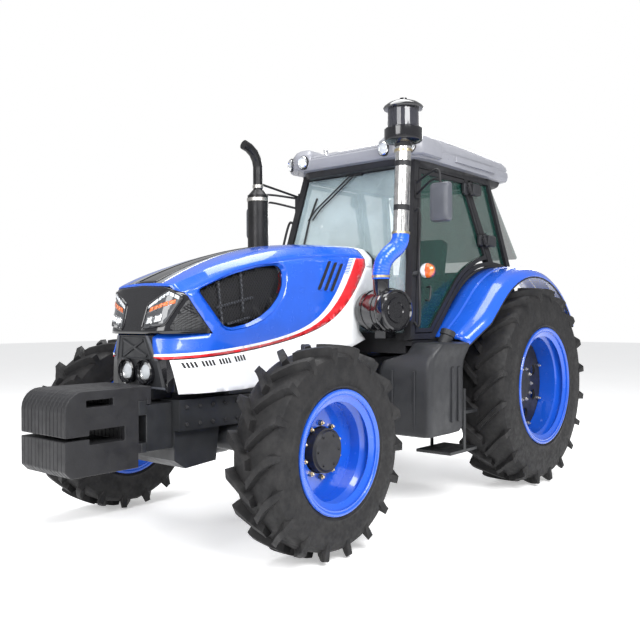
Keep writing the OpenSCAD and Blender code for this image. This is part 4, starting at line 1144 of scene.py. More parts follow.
class TRACTOR_OT_hood(bpy.types.Operator):
    """Builds the hood with its side openings, grilles, louvres and stripe"""

    bl_idname = "tractor.hood"
    bl_label = "Hood"

    def execute(self, context):
        def lip(share):
            y = LIP_HALF * share
            return mask_x(y, mask_top(y)) + 0.004

        hood = hood_sheet(HOOD_BACK, lip, 60)
        top = [(x, brow(x)) for x in steps(HOOD_BACK, 3.325, 40)]
        mask_edge = [(3.285, 1.565), (CHIN_X, 1.366)]
        chin = [(x, MASK_LOW) for x in (3.25, 3.35, 3.43)] + [(3.452, 1.34), (3.462, 1.285), (3.468, 1.215)]
        low = [leaned(x, seam(x) + 0.003) for x in steps(3.44, 1.590, 60)]
        outline = top + mask_edge + chin + low + [(HOOD_BACK, low[-1][1])]
        window = [tuple(p) for p in rounded(WINDOW, 0.03, 3)]
        for side in SIDES:
            hood.patch(outline, on_flank(0.0, side), 0.03, holes=[window])
        make("hood_skin", hood, ["stripe"], "hood", ["hood_shell"], wall=sizes().skin,
             outward=outward_of_middle)
        self.windows(window)
        self.louvres()
        self.bands()
        return {"FINISHED"}

    def windows(self, window):
        """Sloped rim, crossed mesh and dark backing of the two cooling windows."""
        middle = sum((Vector(p) for p in window), Vector((0, 0))) / len(window)
        inner = [tuple(Vector(p) + (middle - Vector(p)).normalized() * 0.020) for p in window]
        rims, mesh, backs = Shape(), Shape(), Shape()
        for side in SIDES:
            rims.loft([laid(loop, on_flank(lift, side)) for loop, lift in (
                (window, 0.0), (window, 0.004), (inner, -0.018), (inner, -0.030))], caps=False)
            lattice(mesh, inner, on_flank(-0.024, side), 0.024, 1.4, 0.0022)
            backs.patch(window, on_flank(-0.075, side), 0.06)
            for stay in WINDOW_STAYS:
                backs.tube(laid(stay, on_flank(-0.052, side)), 0.009, 8, 1)
        make("hood_window_rims", rims, ["blue"], "hood", wall=0.002,
             outward=outward_of_middle)
        make("hood_mesh", mesh, ["trim"], "hood")
        make("hood_mesh_backs", backs, ["trim", "grey"], "hood", wall=0.002,
             outward=outward_of_middle)

    def louvres(self):
        """Three raked slots behind each window, with raised blue fins between them."""
        slots, fins = Shape(), Shape()
        for side in SIDES:
            place = on_flank(0.001, side)
            for k in range(3):
                x, low, high = 2.093 - 0.070 * k, 1.662 - 0.004 * k, 1.885 - 0.006 * k
                bar = rounded([(x, low), (x + LOUVRE_WIDTH, low + 0.006),
                               (x + LOUVRE_WIDTH - LOUVRE_LEAN, high), (x - LOUVRE_LEAN - 0.004, high)],
                              0.010, 3)
                slots.plate(bar, place, 0.002)
                fins.tube([place(u, v, 0.001) for u, v in (bar[-1], bar[0], bar[3])], 0.004, 6)
                fins.tube([place(x - 0.006 - LOUVRE_LEAN * t, low + (high - low) * t, 0.002)
                           for t in steps(0, 1, 4)], 0.007, 8)
        make("hood_louvres", slots, ["trim"], "hood")
        make("hood_louvre_fins", fins, ["blue"], "hood")

    def bands(self):
        """Dark and silver bands that run back from the lip along the top."""
        strips = Shape()
        place = on_top(0.002)
        stations = []
        for x in steps(BAND_FRONT, BAND_BACK, 24):
            t = (x - BAND_BACK) / (BAND_FRONT - BAND_BACK)
            stations.append((x, t, 0.25 + 0.75 * t))
        for side in SIDES:
            for low, high, taper, finish in ((0.0, 0.095, 0.02, 0), (0.105, 0.185, 0.06, 1)):
                rows = []
                for x, t, wide in stations:
                    edge = high * wide - taper * (1 - t) * 0.2
                    rows.append([place(x, side * y) for y in steps(low * wide, edge, 4)])
                strips.loft(rows, finish, closed=False, caps=False)
            strips.tube([place(x, side * 0.100 * wide) for x, _, wide in stations], 0.003, 6)
        make("hood_top_bands", strips, ["gloss", "silver"], "hood", wall=0.001,
             outward=lambda p: UP)


def mask_x(y, z):
    """Foremost surface of the nose mask."""
    t = (z - MASK_LOW) / MASK_HEIGHT
    wide, rear, front = MASK_HALF - 0.055 * t, CHIN_X + 0.17 * t, 3.478 - 0.078 * t
    return front - (front - rear) * min(1.12, abs(y) / wide) ** (5 + 2 * t)


def mask_top(y):
    return straight(abs(y), MASK_TOP)


def on_mask(lift, side=1):
    """Place on the mask at (y, z), lifted forward and outward."""
    def place(y, z, more=0.0):
        ahead = Vector((1, (mask_x(y - 0.004, z) - mask_x(y + 0.004, z)) / 0.008, 0.2)).normalized()
        spot = Vector((mask_x(y, z), y, z)) + ahead * (lift + more)
        return Vector((spot.x, side * spot.y, spot.z))
    return place


def out_of_nose(point):
    """Direction out of the nose's face."""
    return Vector((1, point.y, 0))


LAMP_OUTLINE = [(0.098, 1.386), (0.268, 1.414), (0.338, 1.596), (0.276, 1.638), (0.112, 1.548)]
LAMP_CREST = [(0.124, 1.538), (0.274, 1.627), (0.326, 1.594)]
LAMP_CELLS = ((0.124, 0.200), (0.206, 0.226), (0.232, 0.250), (0.256, 0.274), (0.280, 0.300),
              (0.304, 0.322))
LAMP_BROW = [(0.130, 1.492), (0.200, 1.512), (0.290, 1.546)]
NOSE_MESH = [(0.292, 1.400), (0.350, 1.585), (0.392, 1.400), (0.374, 1.380), (0.310, 1.380)]
PANEL_BOTTOM, PANEL_WAIST, PANEL_TOP = 1.012, 1.190, 1.352
PANEL_BACK, PANEL_EDGE = 3.395, 0.03
PANEL_STRIP = [(0.136, 1.350), (0.160, 1.350), (0.226, 1.195), (0.196, 1.195)]
WEB_LOW, WEB_HIGH = 1.205, 1.338
# Housing, ring and lens of a work lamp in the lower panel, each with its finish
PANEL_LAMP = (([(0.080, -0.01), (0.083, 0.026), (0.074, 0.032), (0.066, 0.006)], 4),
              ([(0.066, 0), (0.060, 0.010), (0.050, 0.012), (0.046, 0.008)], 1),
              ([(0.047, 0), (0.044, 0.010), (0.030, 0.015), (0.005, 0.017)], 2))


def panel_face(z):
    """Front of the lower lamp panel, which leans forward to its top."""
    return 3.415 + 0.050 * (z - PANEL_BOTTOM) / (PANEL_TOP - PANEL_BOTTOM)


def panel_width(z):
    return straight(z, [(PANEL_BOTTOM, 0.262), (PANEL_WAIST, 0.235), (PANEL_TOP, 0.168)])


def on_panel(y, z, lift=0.0):
    """Place on the lower lamp panel's face, lifted forward."""
    return Vector((panel_face(z) + lift, y, z))


class TRACTOR_OT_nose(bpy.types.Operator):
    """Builds the nose mask with its headlamps, and the lower lamp panel"""

    bl_idname = "tractor.nose"
    bl_label = "Nose"

    def execute(self, context):
        rows = []
        for t in steps(0, 1, 14):
            row = []
            for y in steps(-MASK_HALF, MASK_HALF, 56):
                z = MASK_LOW + t * (mask_top(y) - MASK_LOW)
                row.append(Vector((mask_x(y, z), y, z)))
            rows.append(row)
        mask = Shape().loft(rows, closed=False, caps=False)
        make("nose_skin", mask, ["gloss"], "hood", ["nose_mask"], wall=0.012,
             outward=out_of_nose)

        lamps, frames = Shape(), Shape()
        outline, grille = rounded(LAMP_OUTLINE, 0.02, 3), rounded(NOSE_MESH, 0.02, 3)
        for side in SIDES:
            self.lamp(lamps, outline, side)
            frames.piping(laid(outline, on_mask(0.004, side)), 0.006, 8)
            frames.patch(grille, on_mask(0.003, side), 0.02, look=1)
            lattice(frames, [tuple(p) for p in grille], on_mask(0.006, side), 0.016, 1.2, 0.002)
        make("headlamp_lenses", lamps, ["lens", "amber", "chrome", "smoke"], "hood",
             ["headlamps"], wall=0.003, outward=out_of_nose)
        make("headlamp_frames", frames, ["gloss", "mesh"], "hood", wall=0.002,
             outward=out_of_nose)
        self.lower_panel()
        return {"FINISHED"}

    def lamp(self, lamps, outline, side):
        """Smoked headlamp with a row of clear cells, a row of amber ones and two ringed eyes."""
        lamps.patch(outline, on_mask(0.003, side), 0.02, look=3)
        for first, last in LAMP_CELLS:
            tops = [straight(y, LAMP_CREST) for y in (first, last)]
            lamps.patch([(first, tops[0]), (last, tops[1]), (last - 0.003, tops[1] - 0.022),
                         (first - 0.003, tops[0] - 0.020)], on_mask(0.007, side), 0.015, look=0)
        for k in range(5):
            y, z = 0.142 + 0.034 * k, 1.498 + 0.011 * k
            cell = [(y, z), (y + 0.028, z + 0.009), (y + 0.030, z + 0.034), (y + 0.002, z + 0.025)]
            lamps.patch(cell, on_mask(0.007, side), 0.015, look=1)
        for y, z in ((0.138, 1.420), (0.200, 1.432)):
            eye = rounded([(y, z), (y + 0.042, z + 0.008), (y + 0.046, z + 0.050), (y + 0.006, z + 0.042)],
                          0.010, 3)
            lamps.patch(eye, on_mask(0.009, side), 0.015, look=0)
            lamps.piping(laid(eye, on_mask(0.008, side)), 0.004, 6, look=2)
        lamps.tube(laid(LAMP_BROW, on_mask(0.006, side)), 0.003, 6, look=2)

    def lower_panel(self):
        """Black panel under the mask with a crossed web, two work lamps and grey side strips."""
        panel = Shape()
        loops = []
        for z in (PANEL_BOTTOM, 1.10, PANEL_WAIST, 1.27, PANEL_TOP):
            front, wide = panel_face(z), panel_width(z)
            half = [(front, wide - PANEL_EDGE), (front - PANEL_EDGE, wide), (PANEL_BACK, wide)]
            loops.append(level(z, [(x, -y) for x, y in reversed(half)] + half))
        panel.loft(loops)
        panel.block((3.25, -0.12, 0.945), (3.405, 0.12, 1.33))
        for side in SIDES:
            panel.plate([(side * y, z) for y, z in PANEL_STRIP], on_panel, 0.006, look=3)
            panel.tube([on_panel(side * 0.118, 1.222), on_panel(-side * 0.100, 1.322)], 0.010, 8)
            panel.tube([on_panel(side * 0.150, WEB_LOW), on_panel(side * 0.112, WEB_HIGH)], 0.007, 8)
            for profile, finish in PANEL_LAMP:
                panel.turned(profile, on_panel(side * 0.093, 1.122), FORWARD, look=finish)
            cheek = []
            for z in (1.000, 1.06, 1.12, 1.175, 1.205):
                out, wide = flank(3.375, z), panel_width(z)
                cheek.append(level(z, [(panel_face(z) - 0.012, side * (wide - 0.012)),
                                       (3.418, side * (0.5 * wide + 0.5 * out)),
                                       (3.378, side * (out - 0.010)), (3.33, side * (out - 0.016))]))
            panel.loft(cheek, 4, closed=False, caps=False)
        for z in (WEB_LOW, WEB_HIGH):
            half = 0.15 - (z - WEB_LOW) * 0.29
            panel.tube([on_panel(-half, z), on_panel(half, z)], 0.007, 8)
        panel.tube([on_panel(-0.255, 1.020), on_panel(0.255, 1.020)], 0.008, 8, look=3)
        make("nose_lamp_panel", panel, ["plastic", "chrome", "lens", "grey", "gloss"], "chassis",
             ["lamp_panel"])


PANEL_REAR = [(1.528, 1.868), (1.505, 1.905), (1.470, 1.885), (1.425, 1.82), (1.408, 1.72), (1.44, 1.66),
              (1.482, 1.62), (1.588, 1.519), (1.650, 1.43), (1.655, 1.36), (1.575, 1.29)]
SLIT_GROUPS = (3.296, 3.176, 3.052, 2.926)


class TRACTOR_OT_side_panels(bpy.types.Operator):
    """Builds the white panels below the hood with their cooling slits, and the band behind the hood"""

    bl_idname = "tractor.side_panels"
    bl_label = "Side panels"

    def execute(self, context):
        top = [leaned(x, seam(x) - 0.004) for x in steps(3.405, 1.590, 60)]
        low = [(1.75, 1.235), (2.05, 1.165), (2.30, 1.105), (2.50, 1.015), (2.9, 0.990), (3.355, 0.985)]
        panels = Shape()
        for side in SIDES:
            panels.patch(top + PANEL_REAR + low, on_flank(0.0, side), 0.035)
        make("side_skins", panels, ["white"], "chassis", ["side_panels"], wall=sizes().skin,
             outward=outward_of_middle)
        bands = Shape()
        for first, last, inset, finish in ((1.440, 1.526, 0.0, 0), (1.395, 1.442, 0.010, 1)):
            rows = []
            for x in steps(first, last, 4):
                half = [(y, z - inset) for y, z in hood_half(x)]
                half += [(flank(x, z) - inset, z) for z in (1.90, 1.86)]
                rows.append(across(x, half[::-1] + [(-y, z) for y, z in half[1:]]))
            bands.loft(rows, finish, closed=False, caps=False)
        make("hood_rear_band", bands, ["white", "trim"], "chassis", wall=0.008,
             outward=outward_of_middle)
        slits = Shape()
        for side in SIDES:
            place = on_flank(0.0005, side)
            for middle in SLIT_GROUPS:
                for k in range(4):
                    x = middle + 0.036 - 0.024 * k
                    z = seam(x) - 0.058
                    top = z + 0.036
                    slits.plate([(x - 0.014, z), (x, z), (x + 0.018, top), (x + 0.004, top)], place, 0.0015)
        make("side_slits", slits, ["trim"], "chassis")
        return {"FINISHED"}


# Intake, tanks, roof and cab


def loop_box(x0, x1, y0, y1, radius, z, turns=5):
    """Level loop round a rectangle with rounded corners."""
    return level(z, rounded(rectangle(x0, x1, y0, y1), radius, turns))


CAN_MIDDLE = Vector((1.610, 0.625, 1.515))
CAN_TURN = math.radians(13)
CAN_PROFILE = [(0.10, -0.175), (0.135, -0.170), (0.152, -0.155), (0.158, -0.13), (0.158, 0.075),
               (0.152, 0.082), (0.152, 0.088), (0.168, 0.092), (0.170, 0.105), (0.162, 0.112),
               (0.162, 0.150), (0.154, 0.166), (0.140, 0.172), (0.132, 0.158), (0.098, 0.158),
               (0.092, 0.168), (0.060, 0.168), (0.055, 0.160), (0.02, 0.160)]
CAN_NECK = [(1.683, 0.660, 1.762), (1.683, 0.660, 1.690), (1.668, 0.652, 1.620), (1.640, 0.640, 1.540)]
HOSE_ROUTE = [(1.683, 0.660, 1.750), (1.683, 0.660, 1.805), (1.676, 0.680, 1.883), (1.637, 0.705, 1.942),
              (1.589, 0.730, 1.986), (1.560, 0.748, 2.040), (1.549, 0.75, 2.105)]
STACK_X, STACK_Y = 1.512, 0.75
STACK_ROUTE = [(1.550, 0.75, 2.085), (1.546, 0.75, 2.16), (1.530, 0.75, 2.45), (1.515, 0.75, 2.70),
               (1.512, 0.75, 2.77), (1.512, 0.75, 2.83)]
# Parts of the dust bowl, as (radius, height) with sides and finish
BOWL_PARTS = (
    ([(0.066, 2.762), (0.070, 2.785), (0.112, 2.790), (0.142, 2.806), (0.146, 2.818), (0.146, 2.896),
      (0.140, 2.902), (0.122, 2.904)], 48, 0),
    ([(0.121, 2.902), (0.120, 3.052), (0.110, 3.054)], 48, 1),
    ([(0.108, 2.91), (0.108, 3.05)], 24, 2),
    ([(0.118, 3.046), (0.148, 3.048), (0.154, 3.058), (0.146, 3.072), (0.112, 3.096), (0.062, 3.114),
      (0.030, 3.120), (0.028, 3.134), (0.010, 3.140)], 48, 0),
)


class TRACTOR_OT_intake(bpy.types.Operator):
    """Builds the air cleaner, its hose and stainless pipe, and the dust bowl"""

    bl_idname = "tractor.intake"
    bl_label = "Intake"

    def execute(self, context):
        axis = Vector((math.sin(CAN_TURN), math.cos(CAN_TURN), 0))
        can = Shape().turned(CAN_PROFILE, CAN_MIDDLE, axis, 48)
        for far in (-0.09, 0.02):
            can.band(0.158, 0.163, 0.014, 0.002, CAN_MIDDLE, axis, 48, far=far)
        can.tube(CAN_NECK, 0.062, 24)
        can.block((1.465, 0.54, 1.30), (1.60, 0.64, 1.42))
        make("air_canister", can, ["gloss"], "chassis", ["air_cleaner"])

        route = flow(HOSE_ROUTE, 10)
        last = len(route) - 8
        radii = [0.066 + 0.0016 * math.cos(2.2 * i) * (8 < i < last) for i in range(len(route))]
        hose = Shape().tube(route, radii, 28)
        make("intake_elbow", hose, ["hose"], "chassis", ["intake_hose"])

        up = flow(STACK_ROUTE)
        pipe = Shape().tube(up, 0.061, 32)
        way = (up[12] - up[6]).normalized()
        for point, direction in ((route[4], UP), (up[2], way), ((STACK_X, STACK_Y, 2.735), UP)):
            pipe.band(0.062, 0.070, 0.010, 0.001, point, direction, 32, 1)
        for point in (up[9], up[16]):
            pipe.band(0.060, 0.0625, 0.022, 0.001, point, way, 32, 2)
        make("intake_stack", pipe, ["stainless", "brass", "trim"], "chassis", ["intake_pipe"])

        bowl = Shape()
        for profile, sides, finish in BOWL_PARTS:
            bowl.turned(profile, (STACK_X, STACK_Y, 0), UP, sides, finish)
        make("dust_bowl", bowl, ["gloss", "bowl", "plastic"], "chassis", ["pre_cleaner"])
        return {"FINISHED"}


# Level sections of the tank, as (height, x from, x to, y from, y to)
TANK_ROWS = ((0.560, 1.18, 1.56, 0.62, 0.99), (0.575, 1.13, 1.60, 0.58, 1.03),
             (0.610, 1.105, 1.618, 0.565, 1.045), (0.90, 1.107, 1.612, 0.565, 1.05),
             (1.06, 1.110, 1.606, 0.565, 1.05), (1.13, 1.100, 1.598, 0.60, 1.055),
             (1.19, 1.075, 1.575, 0.80, 1.068), (1.235, 1.055, 1.530, 0.805, 1.080),
             (1.258, 1.060, 1.505, 0.812, 1.078), (1.268, 1.085, 1.480, 0.83, 1.055))
TANK_ARCH = [(0.78, 0.72), (0.96, 0.72), (0.98, 0.76), (0.98, 0.93), (0.94, 1.01), (0.86, 1.035),
             (0.78, 1.035)]
FILLER = [(0.052, 0), (0.052, 0.07), (0.060, 0.074), (0.060, 0.110), (0.052, 0.118), (0.048, 0.112),
          (0.010, 0.112)]


def tank_shape():
    """Moulded tank with upright ribs, a flared shoulder and a rounded foot."""
    shape = Shape().loft([loop_box(*sides, 0.055, z) for z, *sides in TANK_ROWS])
    for x in (1.205, 1.300):
        shape.loft([loop_box(x - 0.020, x + 0.020, 1.035, 1.062, 0.008, z, 3) for z in (0.66, 1.08)])
    for y in (0.70, 0.90):
        shape.loft([loop_box(1.600, 1.622, y, y + 0.02, 0.006, z, 3) for z in (0.62, 1.06)])
    return shape


class TRACTOR_OT_tanks(bpy.types.Operator):
    """Builds the moulded fuel tank with its filler, and the side box on the right"""

    bl_idname = "tractor.tanks"
    bl_label = "Tanks"

    def execute(self, context):
        tank = tank_shape()
        tank.turned(FILLER, (1.235, 0.935, 1.250), Vector((-0.35, 0.18, 0.92)), 28)
        arch = rounded(TANK_ARCH, 0.03, 3)
        tank.loft([across(x, arch) for x in (1.108, 1.104)], 1)
        tank.piping(across(1.104, arch), 0.008, 8)
        make("fuel_tank_moulding", tank, ["plastic", "gloss"], "chassis", ["fuel_tank"])
        box = tank_shape().flipped()
        make("side_box_moulding", box, ["plastic"], "chassis", ["side_box"])
        return {"FINISHED"}


ROOF_PLAN = [(-0.515, 0.50), (-0.43, 0.655), (0.95, 0.685), (1.16, 0.665), (1.318, 0.505)]
POD_PLAN = [(0.86, 0.37), (1.322, 0.36), (1.334, 0.53), (1.185, 0.722), (0.86, 0.715)]
# Level loops of the roof, as (inset, height, setback of the front edge)
ROOF_ROWS = ((0.050, 2.748), (0.015, 2.756), (0.004, 2.775), (0.0, 2.80), (0.002, 2.838), (0.012, 2.848),
             (0.012, 2.858), (0.008, 2.866, 0.02), (0.014, 2.890, 0.066), (0.040, 2.925, 0.16),
             (0.090, 2.968, 0.255), (0.165, 3.008, 0.315), (0.27, 3.034, 0.30), (0.40, 3.046, 0.21))
POD_ROWS = ((0.02, 2.768), (0.004, 2.780), (0.0, 2.80), (0.0, 2.872), (0.010, 2.898), (0.035, 2.928),
            (0.080, 2.950))
GUTTER_ROWS = ((0.09, 2.700), (0.075, 2.712), (0.060, 2.750), (0.20, 2.752))
# Seat, ring and lens of a roof lamp, each with its finish
ROOF_LAMP = (([(0.060, -0.01), (0.060, 0.006), (0.05, 0.008)], 2),
             ([(0.050, -0.01), (0.053, 0.016), (0.046, 0.022), (0.043, 0.012)], 1),
             ([(0.043, 0), (0.041, 0.012), (0.026, 0.019), (0.004, 0.021)], 0))
EYE_BOLT = [(0.012, 0), (0.012, 0.03), (0.02, 0.032), (0.022, 0.05), (0.012, 0.062)]


def plan_loop(plan, inset, z, radius):
    """Level loop round a plan, drawn in towards its middle by the inset."""
    middle = [(min(p[k] for p in plan) + max(p[k] for p in plan)) / 2 for k in (0, 1)]
    half = [max(p[k] for p in plan) - middle[k] for k in (0, 1)]
    drawn = [tuple(m + (v - m) * (1 - inset / h) for v, m, h in zip(p, middle, half)) for p in plan]
    return level(z, rounded(drawn, radius, 4))


def roof_loop(inset, z, back=0.0):
    """Loop round the roof; back draws its front rearward, so that a flat visor stays before the crown."""
    half = [(x - back * max(0.0, (x - 0.2) / 1.1), y) for x, y in ROOF_PLAN]
    return plan_loop([(x, -y) for x, y in half] + half[::-1], inset, z, 0.05)


class TRACTOR_OT_roof(bpy.types.Operator):
    """Builds the moulded roof with its lamp pods and gutter"""

    bl_idname = "tractor.roof"
    bl_label = "Roof"

    def execute(self, context):
        roof = Shape().loft([roof_loop(*row) for row in ROOF_ROWS])
        for side in SIDES:
            y = side * 0.60
            roof.loft([loop_box(-0.10, 0.62, y - 0.092, y + 0.092, 0.02, z, 3) for z in (2.79, 2.835)])
            plan = POD_PLAN if side > 0 else [(x, -y) for x, y in POD_PLAN[::-1]]
            roof.loft([plan_loop(plan, inset, z, 0.03) for inset, z in POD_ROWS])
        make("roof_moulding", roof, ["roof"], "chassis", ["roof"])
        gutter = Shape().loft([roof_loop(*row) for row in GUTTER_ROWS])
        make("roof_gutter", gutter, ["trim"], "chassis")
        lamps = Shape()
        for side in SIDES:
            for at, aim in (((1.324, side * 0.435, 2.826), FORWARD),
                            ((1.262, side * 0.632, 2.836), Vector((0.85, side * 0.5, 0)))):
                for profile, finish in ROOF_LAMP:
                    lamps.turned(profile, at, aim, 32, finish)
        lamps.turned(EYE_BOLT, (1.235, -0.25, 2.872), UP, 20, 1)
        make("roof_work_lamps", lamps, ["lens", "chrome", "trim"], "chassis", ["roof_lamps"])
        return {"FINISHED"}


CAB_LEAN = math.tan(math.radians(7.2))
CAB_FOOT_Y, CAB_FOOT_Z = 0.785, 1.29
HINGE_X, HINGE_Z = 0.345, 2.69
HINGE_SLOPE = math.tan(math.radians(20.85))
MIRROR_LOW, MIRROR_HIGH = 2.185, 2.485
MIRROR_ROWS = ((1.352, 0.010), (1.358, 0.0), (1.385, 0.002), (1.402, 0.012), (1.410, 0.035))
MIRROR_GLASS_X = 1.3525
GUSSET = [(1.325, 2.02), (1.25, 1.98), (1.06, 1.87), (0.975, 1.815), (0.965, 1.74), (1.00, 1.66),
          (1.09, 1.53), (1.40, 1.40)]
GRIP = ((1.20, 1.60, 0.0), (1.20, 1.60, 0.035), (1.16, 1.70, 0.035), (1.16, 1.70, 0.0))
RAIL = ((1.40, 1.42, 0.0), (1.395, 1.43, 0.05), (1.30, 1.95, 0.05), (1.225, 2.30, 0.05), (1.215, 2.32, 0.0))


def cab_side(x, z, out, side=1):
    """Point on the cab's side plane at (x, z), moved outward."""
    return Vector((x, side * (CAB_FOOT_Y - (z - CAB_FOOT_Z) * CAB_LEAN + out), z))


def on_screen(y, z, lift):
    """Place on the windscreen at (y, z), lifted off it."""
    return Vector((1.44 - 0.2337 * (z - 1.34) + lift, y, z + 0.23 * lift))


class TRACTOR_OT_cab_trim(bpy.types.Operator):
    """Builds the mirrors, wiper, hinge covers, marker lamps and handles of the cab"""

    bl_idname = "tractor.cab_trim"
    bl_label = "Cab trim"

    def execute(self, context):
        mirrors, posts, lamps = Shape(), Shape(), Shape()
        covers = {side: Shape() for side in SIDES}
        for side in SIDES:
            self.mirror(mirrors, side)
            self.hinges(covers[side], posts, side)
            self.marker(lamps, side)
            gusset = rounded(GUSSET, 0.04, 4)
            posts.loft([[cab_side(*p, out, side) for p in gusset] for out in (-0.055, -0.050)])
        make("mirror_heads", mirrors, ["grey", "mirror", "trim"], "chassis", ["mirrors"])
        make("hinge_posts", posts, ["plastic"], "chassis")
        make("hinge_covers_left", covers[1], ["plastic"], "door_left")
        make("hinge_covers_right", covers[-1], ["plastic"], "door_right")
        make("marker_lenses", lamps, ["lens", "amber", "plastic"], "chassis",
             ["marker_lamps"], wall=0.002)
        self.wiper()
        self.handles()
        return {"FINISHED"}

    def mirror(self, mirrors, side):
        """Mirror head with its glass, on two bent arms from a foot on the front pillar."""
        low, high = span(side, 0.905, 1.085)

        def head(inset, radius):
            corners = rectangle(low + inset, high - inset, MIRROR_LOW + inset, MIRROR_HIGH - inset)
            return rounded(corners, radius)

        mirrors.loft([across(x, head(inset, 0.035)) for x, inset in MIRROR_ROWS])
        mirrors.loft([across(MIRROR_GLASS_X - lift, head(0.02, 0.03)) for lift in (0.0, 0.002)], 1)
        end = Vector((1.380, side * 0.995, 2.49))
        for start, bend in ((2.545, 2.590), (2.455, 2.520)):
            arm = [cab_side(1.16, start, 0.0, side), (1.30, side * 0.86, bend),
                   (1.370, side * 0.975, bend - 0.012), end, end - UP * 0.05]
            mirrors.tube(flow(arm, 5), 0.010, 10, look=2)
        first, last = (-0.01, 0.03) if side > 0 else (0.02, -0.01)
        mirrors.block(cab_side(1.145, 2.42, first, side), cab_side(1.185, 2.57, last, side), 2)

    def hinges(self, covers, posts, side):
        """Two hinges of a door: covers that ride on it, and blocks on the pillar behind."""
        for z in (2.15, 2.60):
            x = HINGE_X - (HINGE_Z - z) * HINGE_SLOPE
            y = cab_side(x, z, 0.020, side).y
            for shape, x0, x1, out in ((covers, x + 0.006, x + 0.085, 0.003),
                                       (posts, x - 0.150, x - 0.010, 0.042)):
                y0, y1 = sorted((y - side * 0.030, y + side * out))
                shape.loft([loop_box(x0 + cut, x1 - cut, y0 + cut, y1 - cut, 0.010, z + far, 4)
                            for far, cut in ((-0.050, 0.012), (-0.040, 0.0), (0.040, 0.0), (0.050, 0.012))])

    def marker(self, lamps, side):
        """Round marker lamp in two colours, on its stalk."""
        spot = cab_side(1.285, 1.825, 0.11, side)
        lamps.tube([cab_side(1.33, 1.80, -0.01, side), spot - FORWARD * 0.01], 0.020, 12, 2)
        lamps.turned([(0.058, -0.020), (0.064, 0.0), (0.060, 0.012)], spot, FORWARD, 28, 2)
        for finish, first in ((0, math.pi), (1, 0.0)):
            angles = [first - math.pi / 2 + math.pi * k / 12 for k in range(13)]
            rows = []
            for radius, far in ((0.059, 0.010), (0.056, 0.030), (0.040, 0.048), (0.002, 0.056)):
                rows.append([spot + Vector((far, radius * math.cos(a) * side * 1.15, radius * math.sin(a)))
                             for a in angles])
            lamps.loft(rows, finish, closed=False, caps=False)

    def wiper(self):
        """Wiper hung from the top of the windscreen."""
        wiper = Shape()
        for y in (-0.02, 0.03):
            arm = [(y, 2.70, 0.030), (y - 0.36, 2.41, 0.030), (y - 0.44, 2.32, 0.022)]
            wiper.tube(laid(arm, on_screen), 0.007, 8)
        blade = [(-0.40, 2.52, 0.016), (-0.455, 2.32, 0.014), (-0.48, 2.02, 0.016)]
        wiper.tube(laid(blade, on_screen), 0.009, 8)
        wiper.tube(laid([(-0.06, 2.70, 0.012), (0.07, 2.70, 0.012)], on_screen), 0.022, 12)
        make("screen_wiper", wiper, ["trim"], "chassis")

    def handles(self):
        """Door handles and the grab rails beside the doors."""
        rails = Shape()
        for side, name in ((1, "left"), (-1, "right")):
            grip = Shape().tube(flow([cab_side(*p, side) for p in GRIP], 4), 0.009, 10)
            make("door_handle_" + name, grip, ["plastic"], "door_" + name)
            rails.tube(flow([cab_side(*p, side) for p in RAIL]), 0.011, 12)
        make("grab_rails", rails, ["trim"], "chassis")


FENDER_R = 1.050
FENDER_INNER, FENDER_SPAN = 0.718, 0.417
FENDER_BACK, FENDER_FRONT = 148, 50
AXLE_Z = 0.860
# Section of a fender from the cab outward, as (rise over its radius, distance from the centre line)
FENDER_SECTION = [(0.0, 0.718), (0.002, 0.80), (0.004, 0.86), (-0.004, 0.875), (-0.003, 0.95),
                  (-0.006, 1.00), (-0.016, 1.018), (-0.022, 1.06), (-0.040, 1.098), (-0.062, 1.120),
                  (-0.086, 1.134), (-0.099, 1.128)]


def on_fender(angle, tail, narrow, point):
    """Place of a section's point round the arch, or down the straight tail at its front."""
    rise, y = point
    r = FENDER_R + rise
    return Vector((r * math.cos(angle) + tail * math.sin(angle),
                   y - narrow * (y - FENDER_INNER) / FENDER_SPAN,
                   AXLE_Z + r * math.sin(angle) - tail * math.cos(angle)))


def out_of_fender(point):
    """Direction away from the rear axle and the centre line."""
    return Vector((point.x - SHIFT.x, 0, point.z - AXLE_Z)) + LEFT * point.y * 0.6


class TRACTOR_OT_fenders(bpy.types.Operator):
    """Builds the arched rear fenders with their creases, lip and seal, and the rear lamps"""

    bl_idname = "tractor.fenders"
    bl_label = "Fenders"

    def execute(self, context):
        path = [(math.radians(a), 0.0, 0.0) for a in steps(FENDER_BACK, FENDER_FRONT, 40)]
        path += [(math.radians(FENDER_FRONT), tail, 0.09 * max(0.0, tail - 0.28) / 0.28)
                 for tail in steps(0.06, 0.56, 9)]
        for side, name in ((1, "left"), (-1, "right")):
            skin = Shape().loft([[on_fender(*at, point) for point in FENDER_SECTION] for at in path],
                                closed=False, caps=False)
            seal = Shape()
            for point, radius in (((0.006, 0.722), 0.012), ((-0.099, 1.127), 0.007)):
                seal.tube([on_fender(*at, point) for at in path], radius, 8)
            if side < 0:
                skin, seal = skin.flipped(), seal.flipped()
            make("fender_skin_" + name, skin, ["blue"], "chassis", ["fender_" + name],
                 wall=0.010, outward=out_of_fender, crease=24)
            make("fender_seal_" + name, seal, ["trim"], "chassis")
        lamps = Shape()
        for side in SIDES:
            for finish in (0, 1):
                ends = span(side, 0.82 + 0.11 * finish, 0.92 + 0.11 * finish)
                lens = rounded(rectangle(*ends, 1.475, 1.555), 0.02)
                lamps.loft([across(x, lens) for x in (-0.80, -0.868, -0.880)], finish)
            low, high = span(side, 0.80, 1.05)
            lamps.block((-0.83, low, 1.46), (-0.79, high, 1.57), 2)
        make("rear_lamp_lenses", lamps, ["tail", "amber", "plastic"], "chassis")
        return {"FINISHED"}


